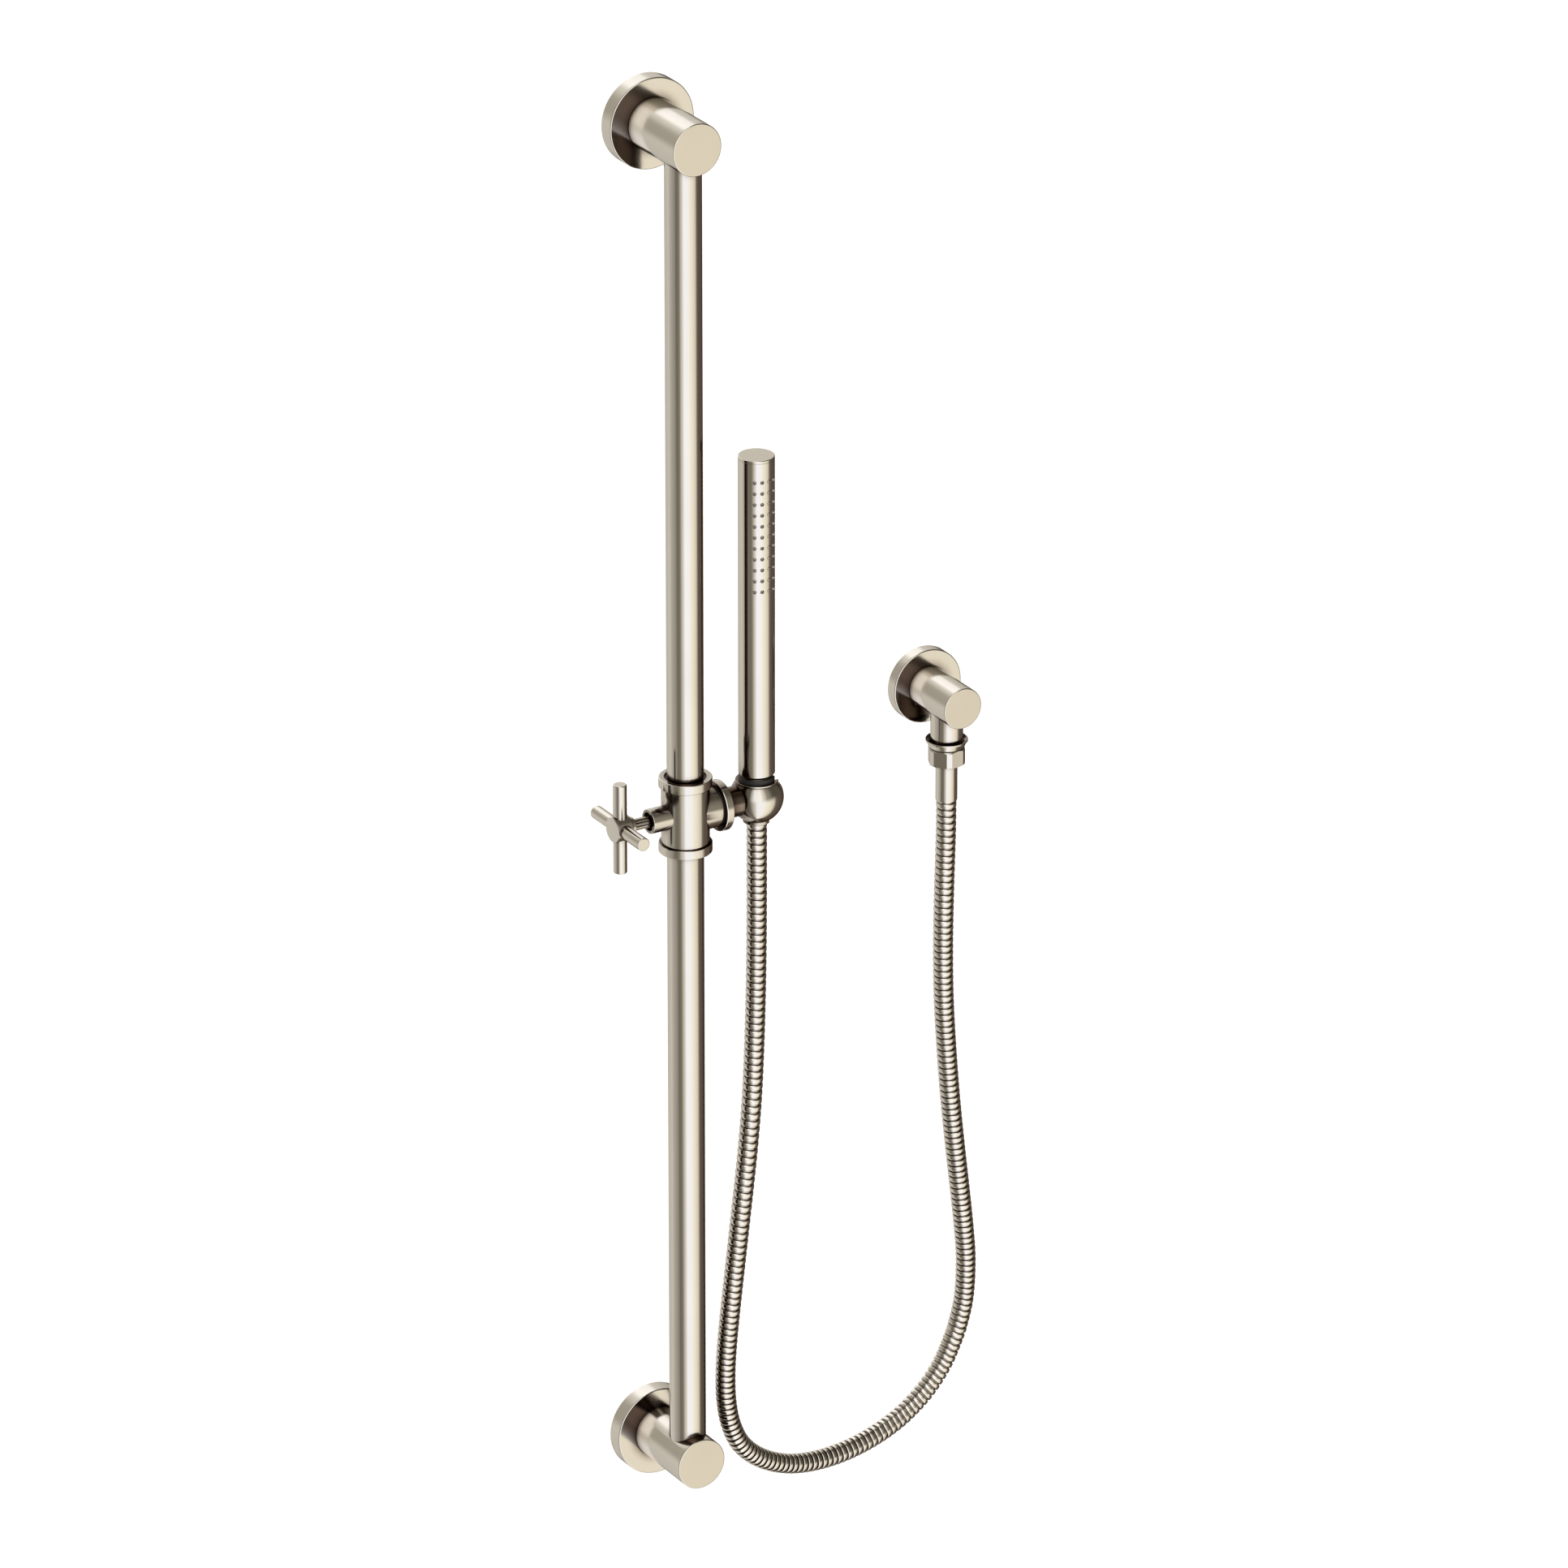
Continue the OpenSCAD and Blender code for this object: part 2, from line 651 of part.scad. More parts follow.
module clamp_screw() color(nickel) at_slider() difference() {
    union() {
        across(-stem_end, -pad_back, clamp_d);
        across(-hub_floor, -stem_end, 2 * hub_bore_r);
    }
    across(-hub_floor - over, -hub_floor + 8, hub_screw_d + 2 * slip);
    for (k = [0.5 : flutes])
        rotate([k * 360 / flutes, 0, 0])
            translate([0, 0, clamp_d / 2 + 0.3])
                across(-stem_end - over, -clamp_boss_x + clamp_recess - 0.5, 1.5);
}

module handle_hub() color(nickel) at_slider() difference() {
    union() {
        across(-hub_front, -hub_back, hub_d);
        across(-hub_back, -stem_end, hub_neck_d);
    }
    across(-hub_front, -stem_end + over, 2 * (hub_bore_r + slip));
    across(-hub_front - over, -hub_floor, 2 * hub_pocket_r);
    for (turn = [0 : 90 : 270])
        rotate([turn, 0, 0])
            translate([-arms_x, 0, arm_seat])
                cylinder(h = hub_d, d = arm_d + 2 * slip);
}

module handle_arms() color(nickel) at_slider()
    for (turn = [0 : 90 : 270])
        rotate([turn, 0, 0])
            translate([-arms_x, 0, 0]) {
                upright(arm_seat, arms_span / 2 - 0.6, arm_d / 2);
                upright(arms_span / 2 - 0.6, arms_span / 2, arm_d / 2, arm_d / 2 - 0.5);
            }

module hub_screw() color(steel) at_slider() difference() {
    union() {
        across(-hub_floor, -hub_floor + 7, hub_screw_d);
        across(-hub_floor - 2.4, -hub_floor, hub_screw_head_d);
    }
    across(-hub_floor - 2.4 - over, -hub_floor - 0.8, 3, $fn = 6);
}

module hub_cap() color(nickel) at_slider() difference() {
    union() {
        across(-hub_front - hub_cap_t, -hub_front, hub_d);
        across(-hub_front, -hub_floor - 3, 2 * (hub_pocket_r - slip));
    }
    across(-hub_front, -hub_floor, 2 * hub_pocket_r - 2.4);
}

// ---- Holder ----

module friction_washer() color(nylon) at_slider() difference() {
    across(pivot_boss_x, disc_x, pivot_boss_d - 1);
    across(pivot_boss_x - over, disc_x + over, pivot_d + 2 * slip);
}

module holder_disc() color(nickel) at_slider() difference() {
    union() {
        across(disc_x, disc_x + 0.5, disc_d - 1, disc_d);
        across(disc_x + 0.5, disc_front, disc_d);
    }
    across(disc_x - over, disc_front + over, pivot_d + 2 * slip);
    across(disc_front - neck_spigot, disc_front + over, 2 * (neck_spigot_r + slip));
}

// The slot runs the whole height of the holder and opens away from the rail
module hose_slot() at_wand()
    translate([0, -slot_w / 2, skirt_z - over])
        cube([ball_d, slot_w, liner_top - skirt_z + 2 * over]);

module holder_ball() color(nickel) difference() {
    union() {
        intersection() {
            at_wand() translate([0, 0, slider_z]) sphere(d = ball_d);
            at_wand() upright(skirt_z + 1, rim_z, ball_d);
        }
        at_slider() across(disc_front, wand_x - ball_bore_r + 1, neck_d);
        at_slider() across(disc_front - neck_spigot, disc_front, 2 * neck_spigot_r);
        at_wand() upright(rim_z - rim_t, rim_z, rim_d / 2);
        at_wand() upright(skirt_z, slider_z, hose_hole_r + skirt_wall);
    }
    at_wand() upright(cone_start, rim_z + over, ball_bore_r);
    at_wand() upright(seat_z - seat_t, cone_start, liner_seat_r + liner_t + slip, ball_bore_r);
    at_wand() upright(skirt_z - over, seat_z, hose_hole_r);
    at_slider() across(disc_front - neck_spigot - over, wand_x, pivot_d + 2 * slip);
    at_slider() across(spring_x, wand_x, pivot_head_d + 0.6);
    hose_slot();
}

module holder_liner() color(nylon) difference() {
    at_wand() union() {
        upright(cone_start, liner_top, liner_out_r);
        upright(seat_z - seat_t, cone_start, liner_seat_r + liner_t, liner_out_r);
    }
    at_wand() upright(cone_start, liner_top + over, liner_in_r);
    at_wand() upright(seat_z, cone_start, liner_seat_r, liner_in_r);
    at_wand() upright(skirt_z, rim_z, hose_hole_r);
    hose_slot();
}

module spring_washer() color(steel) at_slider() difference() {
    across(spring_x, spring_x + spring_t, pivot_head_d);
    across(spring_x - over, spring_x + spring_t + over, pivot_d + 2 * slip);
}

// ---- Hand shower ----

module wand_hose_tail() color(brass) at_wand() difference() {
    union() {
        upright(tail_ledge, tail_top, tail_flange_r);
        upright(seat_z, tail_ledge, tail_r);
    }
    upright(seat_z - over, tail_top + over, tail_bore_d / 2);
}

module cone_nut() color(nickel) at_wand() difference() {
    union() {
        upright(cone_start, wand_z, cone_r);
        upright(seat_z, cone_start, cone_tip_d / 2, cone_r);
    }
    upright(tail_ledge, wand_z + over, thread_hole_r);
    upright(seat_z - over, tail_ledge + over, tail_r + slip);
}

module cone_washer() color(rubber) at_wand() difference() {
    upright(tail_top, wand_thread_z, tail_flange_r);
    upright(tail_top - over, wand_thread_z + over, tail_bore_d / 2 + 0.5);
}

// Everything that stands on the nozzle pattern, turned and raised to each place
module each_nozzle()
    for (row = [0 : nozzle_rows - 1], col = [0 : nozzle_cols - 1])
        rotate([0, 0, nozzle_step * (col - (nozzle_cols - 1) / 2)])
            translate([0, 0, nozzle_first - row * nozzle_pitch])
                children();

module wand_tube() color(nickel) at_wand() difference() {
    union() {
        upright(wand_z, wand_z + wand_edge + 0.4, wand_r - wand_edge, wand_r);
        upright(wand_z + wand_edge + 0.4, cap_z, wand_r);
    }
    upright(wand_z + wand_lip, cap_z + over, wand_bore_r);
    upright(wand_z - over, wand_z + wand_lip + over, thread_hole_r);
    each_nozzle() out_of_wall(wand_bore_r - over, wand_r + over, nozzle_d + 2 * slip);
}

module wand_cap() color(nickel) at_wand() difference() {
    union() {
        upright(cap_z - cap_plug, cap_z, plug_r);
        upright(cap_z, wand_top - 0.5, wand_r);
        upright(wand_top - 0.5, wand_top, wand_r, wand_r - 0.5);
    }
    difference() {
        upright(cap_z - 5, cap_z - 3.4, wand_r);
        upright(cap_z - 6, cap_z - 2.4, plug_r - 2 * seal_r - slip);
    }
}

module cap_seal() color(rubber) at_wand() o_ring(cap_z - 4.2, plug_r);

module wand_inlet() color(plastic) at_wand() difference() {
    union() {
        upright(wand_thread_z, wand_z + wand_lip, thread_d / 2);
        upright(wand_z + wand_lip, inlet_top, plug_r);
    }
    upright(wand_thread_z - over, inlet_top, water_d / 2);
    upright(restrictor_z, inlet_top, restrictor_r + slip);
    upright(waterway_z, inlet_top + over, waterway_r + slip);
    difference() {
        upright(wand_z + wand_lip + 3, wand_z + wand_lip + 4.6, wand_r);
        upright(wand_z + wand_lip + 2, wand_z + wand_lip + 5.6, plug_r - 2 * seal_r - slip);
    }
}

module inlet_seal() color(rubber) at_wand() o_ring(wand_z + wand_lip + 3.8, plug_r);

module flow_restrictor() color(plastic) at_wand() difference() {
    upright(restrictor_z, restrictor_z + restrictor_t, restrictor_r);
    for (turn = [0 : 45 : 315])
        rotate([0, 0, turn])
            translate([restrictor_r / 2, 0, restrictor_z - over])
                cylinder(h = restrictor_t + 2 * over, d = 1.5, $fn = 12);
}

module waterway() color(plastic) at_wand() difference() {
    upright(waterway_z, waterway_top, waterway_r);
    upright(waterway_z - over, waterway_top - 1.5, waterway_r - waterway_wall);
    each_nozzle() out_of_wall(0, waterway_r + over, nozzle_d - 0.8);
}

// The slice of a circle that the rubber panel fills, towards the room
module panel_slice() polygon([[0, 0],
    [-2 * wand_d * sin(panel_half), -2 * wand_d * cos(panel_half)],
    [0, -2 * wand_d],
    [2 * wand_d * sin(panel_half), -2 * wand_d * cos(panel_half)]]);

module nozzle_panel() color(rubber) at_wand() difference() {
    union() {
        intersection() {
            difference() {
                upright(nozzle_last - panel_margin, nozzle_first + panel_margin, plug_r);
                upright(nozzle_last - panel_margin - over, nozzle_first + panel_margin + over,
                    waterway_r + slip);
            }
            translate([0, 0, nozzle_last - panel_margin])
                linear_extrude(nozzle_first - nozzle_last + 2 * panel_margin)
                    panel_slice();
        }
        each_nozzle() out_of_wall(waterway_r + slip + 0.3, wand_r + nozzle_proud, nozzle_d);
    }
    each_nozzle() out_of_wall(waterway_r - over, wand_r + nozzle_proud + over, jet_d, $fn = 8);
}

rail_tube();
upper_post();
lower_post();
upper_wall_flange();
lower_wall_flange();
upper_wall_bracket();
lower_wall_bracket();
upper_rail_pad();
lower_rail_pad();
post_set_screws();
elbow_body();
elbow_flange();
check_valve();
check_valve_seal();
outlet_ring();
outlet_washer();
outlet_hose_tail();
hose_nut();
hose_ferrule();
hose_riser();
hose_loop();
hose_drop();
upper_bush();
lower_bush();
slider_body();
upper_collar();
lower_collar();
pivot_screw();
brake_pad();
clamp_screw();
handle_hub();
handle_arms();
hub_screw();
hub_cap();
friction_washer();
holder_disc();
holder_ball();
holder_liner();
spring_washer();
wand_hose_tail();
cone_nut();
cone_washer();
wand_tube();
wand_cap();
cap_seal();
wand_inlet();
inlet_seal();
flow_restrictor();
waterway();
nozzle_panel();
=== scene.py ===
"""Looks for the slide-rail hand shower set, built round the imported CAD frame.

Lengths here are in millimetres and become metres where a mesh is made. The wall is the
plane y = 0, the room lies towards -y, and z = 0 is the axis of the lower wall post.
"""
import bisect
import json
import math

import bmesh
import bpy
from mathutils import Matrix, Vector


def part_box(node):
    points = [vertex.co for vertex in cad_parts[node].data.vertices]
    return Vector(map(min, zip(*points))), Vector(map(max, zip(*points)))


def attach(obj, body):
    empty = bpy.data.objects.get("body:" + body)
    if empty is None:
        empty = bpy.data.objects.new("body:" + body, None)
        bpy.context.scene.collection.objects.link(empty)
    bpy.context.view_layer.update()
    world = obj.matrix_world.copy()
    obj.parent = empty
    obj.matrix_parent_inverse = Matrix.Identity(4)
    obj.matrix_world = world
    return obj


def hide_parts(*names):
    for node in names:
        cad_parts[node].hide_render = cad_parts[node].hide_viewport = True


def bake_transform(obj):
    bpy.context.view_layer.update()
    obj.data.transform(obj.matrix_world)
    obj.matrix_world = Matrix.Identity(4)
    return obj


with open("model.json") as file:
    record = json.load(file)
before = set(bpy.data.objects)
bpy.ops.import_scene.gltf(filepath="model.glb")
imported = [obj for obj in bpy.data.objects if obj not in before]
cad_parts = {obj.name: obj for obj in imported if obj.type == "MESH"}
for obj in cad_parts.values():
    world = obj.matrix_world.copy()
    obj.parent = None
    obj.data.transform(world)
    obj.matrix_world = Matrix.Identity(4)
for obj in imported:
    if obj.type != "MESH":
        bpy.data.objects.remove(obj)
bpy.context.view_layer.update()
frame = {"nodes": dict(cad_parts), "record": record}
scene = bpy.context.scene

MM = 0.001

# ---------------------------------------------------------------- places from the frame


def box(node):
    """Lowest and highest corner of a CAD node, in millimetres."""
    low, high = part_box(node)
    return Vector(low) / MM, Vector(high) / MM


def middle(node):
    low, high = box(node)
    return (low + high) / 2


RAIL_LOW, RAIL_HIGH = box("rail_tube")
RAIL_R = (RAIL_HIGH.x - RAIL_LOW.x) / 2
RAIL_Y = middle("rail_tube").y
POST_LOW, POST_HIGH = box("lower_post")
POST_R = (POST_HIGH.x - POST_LOW.x) / 2
POST_TOP_Z = middle("upper_wall_flange").z
WAND = middle("wand_tube")
ELBOW = middle("elbow_flange")
DROP = middle("outlet_ring")
SLIDER_Z = middle("handle_arms").z
ARMS_X = middle("handle_arms").x

# ---------------------------------------------------------------- camera and light

CAMERA_TURN, CAMERA_TILT = math.radians(30.545), math.radians(23.522)
CAMERA_TARGET = Vector((0.10746, 0.0, 0.45891))  # metres, like its distance
CAMERA_DISTANCE = 7.6052
CAMERA_LENS = 256.93


def add_camera():
    """The camera stands to the left of the rail, a little above it, and far away."""
    turn, tilt = CAMERA_TURN, CAMERA_TILT
    back = Vector((-math.sin(turn) * math.cos(tilt), -math.cos(turn) * math.cos(tilt), math.sin(tilt)))
    right = Vector((math.cos(turn), -math.sin(turn), 0.0))
    up = back.cross(right)
    data = bpy.data.cameras.new("camera")
    data.sensor_width = 36.0
    data.lens = CAMERA_LENS
    data.clip_start, data.clip_end = 0.1, 60.0
    camera = bpy.data.objects.new("camera", data)
    facing = Matrix((right, up, back)).transposed().to_4x4()
    camera.matrix_world = Matrix.Translation(CAMERA_TARGET + back * CAMERA_DISTANCE) @ facing
    scene.collection.objects.link(camera)
    scene.camera = camera


def ramp(nodes, stops):
    """A colour ramp from (degrees from -180 to 180, colour) pairs."""
    node = nodes.new("ShaderNodeValToRGB")
    node.color_ramp.interpolation = "EASE"
    elements = node.color_ramp.elements
    while len(elements) > 1:
        elements.remove(elements[-1])
    for index, (degrees, colour) in enumerate(stops):
        place = (degrees + 180) / 360
        if index == 0:
            elements[0].position = place
        else:
            elements.new(place)
        elements[index].color = (*colour, 1)
    return node


def grey(value, warmth=0.0):
    """A grey that turns warmer as warmth goes from 0 to 1."""
    return (value * (1 + 0.12 * warmth), value, value * (1 - 0.28 * warmth))


# What the metal reflects, by direction round the set. 0 is where the main light stands,
# and the angle grows to the right of it, seen from there.
LIGHT_DIRECTION = math.radians(-120.5)
BELOW_HORIZON = [
    (-180, grey(0.10, 0.6)), (-167, grey(0.45, 0.3)), (-145, grey(0.60, 0.3)), (-102, grey(0.68, 0.3)),
    (-84, grey(0.50, 0.3)), (-62, grey(0.38, 0.4)), (-42, grey(0.18, 0.6)), (-29, grey(0.22, 0.6)),
    (-12, grey(0.70, 0.4)), (4, (1.20, 1.24, 1.34)), (28, (1.20, 1.23, 1.30)), (48, grey(1.08, 0.5)),
    (70, grey(0.88, 0.5)), (78, grey(0.70, 0.5)), (90, (0.19, 0.15, 0.12)), (104, (0.13, 0.10, 0.08)),
    (142, (0.11, 0.08, 0.07)), (154, (0.05, 0.03, 0.02)), (172, (0.05, 0.03, 0.02))]
ABOVE_HORIZON = [
    (-180, grey(0.70, 0.3)), (-172, grey(1.2)), (-150, grey(1.3)), (-134, grey(0.75, 0.3)),
    (-119, grey(0.42, 0.5)), (-100, grey(0.40, 0.5)), (-60, grey(0.22, 0.6)), (-32, grey(0.18, 0.6)),
    (-20, grey(0.8)), (-10, grey(1.25)), (18, grey(1.25)), (32, grey(0.8, 0.4)), (50, grey(0.30, 0.6)),
    (80, grey(0.09, 0.8)), (150, grey(0.09, 0.8)), (168, grey(0.45, 0.5)), (180, grey(0.70, 0.3))]
HORIZON_START, HORIZON_END = -0.22, 0.12  # sines of the heights between which the two mix


def add_world():
    """A soft studio: plain white to the camera, and broad light and dark fields in reflections."""
    world = bpy.data.worlds.new("studio")
    scene.world = world
    world.use_nodes = True
    nodes, links = world.node_tree.nodes, world.node_tree.links
    nodes.clear()

    def math_node(operation, first, second=None):
        node = nodes.new("ShaderNodeMath")
        node.operation = operation
        for socket, value in zip(node.inputs, (first, second)):
            if isinstance(value, (int, float)):
                socket.default_value = value
            elif value is not None:
                links.new(value, socket)
        return node.outputs[0]

    direction = nodes.new("ShaderNodeTexCoord").outputs["Generated"]
    split = nodes.new("ShaderNodeSeparateXYZ")
    links.new(direction, split.inputs[0])
    angle = math_node("ARCTAN2", split.outputs["Y"], split.outputs["X"])
    turns = math_node("DIVIDE", math_node("SUBTRACT", angle, LIGHT_DIRECTION), math.tau)
    place = math_node("FRACT", math_node("ADD", turns, 1.5))
    low, high = ramp(nodes, BELOW_HORIZON), ramp(nodes, ABOVE_HORIZON)
    links.new(place, low.inputs[0])
    links.new(place, high.inputs[0])
    blend = nodes.new("ShaderNodeMapRange")
    blend.interpolation_type = "SMOOTHSTEP"
    blend.inputs["From Min"].default_value = HORIZON_START
    blend.inputs["From Max"].default_value = HORIZON_END
    links.new(split.outputs["Z"], blend.inputs["Value"])
    mix = nodes.new("ShaderNodeMix")
    mix.data_type = "RGBA"
    links.new(blend.outputs["Result"], mix.inputs["Factor"])
    links.new(low.outputs["Color"], mix.inputs["A"])
    links.new(high.outputs["Color"], mix.inputs["B"])
    studio, plain = nodes.new("ShaderNodeBackground"), nodes.new("ShaderNodeBackground")
    links.new(mix.outputs["Result"], studio.inputs["Color"])
    plain.inputs["Color"].default_value = (1, 1, 1, 1)
    rays, both = nodes.new("ShaderNodeLightPath"), nodes.new("ShaderNodeMixShader")
    links.new(rays.outputs["Is Camera Ray"], both.inputs[0])
    links.new(studio.outputs[0], both.inputs[1])
    links.new(plain.outputs[0], both.inputs[2])
    links.new(both.outputs[0], nodes.new("ShaderNodeOutputWorld").inputs["Surface"])


def add_floor_and_lights():
    """A pale floor under the set, which hangs above it, and one broad light from above."""
    mesh = bpy.data.meshes.new("floor")
    half, height = 9.0, -0.42
    corners = [(-half, -half, height), (half, -half, height), (half, half, height), (-half, half, height)]
    mesh.from_pydata(corners, [], [(0, 1, 2, 3)])
    floor = bpy.data.objects.new("floor", mesh)
    scene.collection.objects.link(floor)
    floor.visible_glossy = False
    material = bpy.data.materials.new("floor")
    material.use_nodes = True
    shader = material.node_tree.nodes["Principled BSDF"]
    shader.inputs["Base Color"].default_value = (0.9, 0.9, 0.9, 1)
    shader.inputs["Roughness"].default_value = 0.9
    shader.inputs["Specular IOR Level"].default_value = 0.0
    mesh.materials.append(material)

    data = bpy.data.lights.new("overhead", "SUN")
    data.energy = 2.6
    data.angle = math.radians(80)
    data.color = (1.0, 0.99, 0.97)
    light = bpy.data.objects.new("overhead", data)
    light.rotation_euler = (math.radians(-24), math.radians(-14), 0)
    light.visible_glossy = False
    scene.collection.objects.link(light)


add_camera()
add_world()
add_floor_and_lights()
scene.view_settings.view_transform = "Standard"

# ---------------------------------------------------------------- materials


def new_material(name, colour, metallic, roughness, specular):
    material = bpy.data.materials.new(name)
    material.use_nodes = True
    shader = material.node_tree.nodes["Principled BSDF"]
    shader.inputs["Base Color"].default_value = (*colour, 1)
    shader.inputs["Metallic"].default_value = metallic
    shader.inputs["Roughness"].default_value = roughness
    shader.inputs["Specular IOR Level"].default_value = specular
    shader.inputs["Coat Weight"].default_value = 0.0
    return material


def noise(material, vector, scale, detail):
    nodes, links = material.node_tree.nodes, material.node_tree.links
    node = nodes.new("ShaderNodeTexNoise")
    node.inputs["Scale"].default_value = scale
    node.inputs["Detail"].default_value = detail
    links.new(vector, node.inputs["Vector"])
    return node.outputs["Fac"]


def spread(material, value, low, high):
    """Maps a noise value onto a range."""
    nodes, links = material.node_tree.nodes, material.node_tree.links
    node = nodes.new("ShaderNodeMapRange")
    node.inputs["From Min"].default_value = 0.25
    node.inputs["From Max"].default_value = 0.75
    node.inputs["To Min"].default_value = low
    node.inputs["To Max"].default_value = high
    links.new(value, node.inputs["Value"])
    return node.outputs["Result"]


def tint(material, value, first, second):
    """Mixes two colours by a noise value."""
    nodes, links = material.node_tree.nodes, material.node_tree.links
    node = nodes.new("ShaderNodeMix")
    node.data_type = "RGBA"
    node.inputs["A"].default_value = (*first, 1)
    node.inputs["B"].default_value = (*second, 1)
    links.new(value, node.inputs["Factor"])
    return node.outputs["Result"]


def add_bump(material, height, distance, strength):
    nodes, links = material.node_tree.nodes, material.node_tree.links
    bump = nodes.new("ShaderNodeBump")
    bump.inputs["Strength"].default_value = strength
    bump.inputs["Distance"].default_value = distance
    links.new(height, bump.inputs["Height"])
    links.new(bump.outputs["Normal"], nodes["Principled BSDF"].inputs["Normal"])


# Painted shade: the dark brown that inner corners turn to.
CORNER_SHADE_BROWN = (0.13, 0.085, 0.065)
# Painted reflection shade: the dark brown that metal takes when seen in other metal.
REFLECTION_SHADE_BROWN = (0.09, 0.06, 0.045)


def paint_corner_shade(material, colour, reach, closed, open_):
    """Painted shade: the colour turns to a dark brown in inner corners, by ambient occlusion."""
    nodes, links = material.node_tree.nodes, material.node_tree.links
    hollow = nodes.new("ShaderNodeAmbientOcclusion")
    hollow.samples = 8
    hollow.inputs["Distance"].default_value = reach
    span = nodes.new("ShaderNodeMapRange")
    span.interpolation_type = "SMOOTHSTEP"
    span.inputs["From Min"].default_value = closed
    span.inputs["From Max"].default_value = open_
    links.new(hollow.outputs["AO"], span.inputs["Value"])
    mix = nodes.new("ShaderNodeMix")
    mix.data_type = "RGBA"
    mix.inputs["A"].default_value = (*CORNER_SHADE_BROWN, 1)
    links.new(span.outputs["Result"], mix.inputs["Factor"])
    links.new(colour, mix.inputs["B"])
    return mix.outputs["Result"]


def paint_dark_reflections(material, colour):
    """Painted reflection shade: the colour turns dark brown wherever the metal is seen in a reflection.
    """
    nodes, links = material.node_tree.nodes, material.node_tree.links
    mix = nodes.new("ShaderNodeMix")
    mix.data_type = "RGBA"
    mix.inputs["B"].default_value = (*REFLECTION_SHADE_BROWN, 1)
    links.new(nodes.new("ShaderNodeLightPath").outputs["Is Glossy Ray"], mix.inputs["Factor"])
    links.new(colour, mix.inputs["A"])
    return mix.outputs["Result"]


def brushed(name, colour, roughness, turned, reach=0.03, closed=0.42, open_=0.86, dark_reflections=True):
    """Brushed metal. Turned pieces carry fine rings that follow the second texture coordinate.

    reach, closed and open_ say how deep a corner has to be before its painted shade darkens it.
    """
    material = new_material(name, colour, metallic=1.0, roughness=roughness, specular=0.5)
    nodes, links = material.node_tree.nodes, material.node_tree.links
    shader = nodes["Principled BSDF"]
    places = nodes.new("ShaderNodeTexCoord")
    cloud = noise(material, places.outputs["Object"], 22.0, 3.0)
    if turned:
        split = nodes.new("ShaderNodeSeparateXYZ")
        links.new(places.outputs["UV"], split.inputs[0])
        wander = nodes.new("ShaderNodeCombineXYZ")
        links.new(split.outputs["Y"], wander.inputs["X"])
        links.new(cloud, wander.inputs["Y"])
        lines = noise(material, wander.outputs[0], 5.0, 4.0)
    else:
        lines = noise(material, places.outputs["Object"], 2400.0, 2.0)
    mixed = nodes.new("ShaderNodeMix")
    mixed.inputs["Factor"].default_value = 0.45
    links.new(cloud, mixed.inputs["A"])
    links.new(lines, mixed.inputs["B"])
    links.new(spread(material, mixed.outputs["Result"], roughness * 0.78, roughness * 1.3),
              shader.inputs["Roughness"])
    darker = tuple(c * 0.93 for c in colour)
    cloudy = tint(material, cloud, colour, darker)
    # Painted shade: the colour turns to a dark brown in inner corners.
    corner_shaded = paint_corner_shade(material, cloudy, reach, closed, open_)
    # Painted reflection shade: unless turned off, the colour goes dark brown where the metal is seen in
    # reflections.
    links.new(paint_dark_reflections(material, corner_shaded) if dark_reflections else corner_shaded, shader.inputs["Base Color"])
    add_bump(material, lines, 0.000012, 0.35)
    return material


def moulded(name, colour, roughness, metallic=0.0):
    """Plastic or rubber from a mould: a faint grain and an uneven gloss."""
    material = new_material(name, colour, metallic=metallic, roughness=roughness, specular=0.45)
    nodes, links = material.node_tree.nodes, material.node_tree.links
    places = nodes.new("ShaderNodeTexCoord")
    grain = noise(material, places.outputs["Object"], 1800.0, 3.0)
    cloud = noise(material, places.outputs["Object"], 60.0, 2.0)
    shader = nodes["Principled BSDF"]
    darker = tuple(c * 0.85 for c in colour)
    links.new(spread(material, cloud, roughness * 0.85, roughness * 1.15), shader.inputs["Roughness"])
    links.new(tint(material, cloud, colour, darker), shader.inputs["Base Color"])
    add_bump(material, grain, 0.00004, 0.4)
    return material


NICKEL = (0.79, 0.745, 0.675)
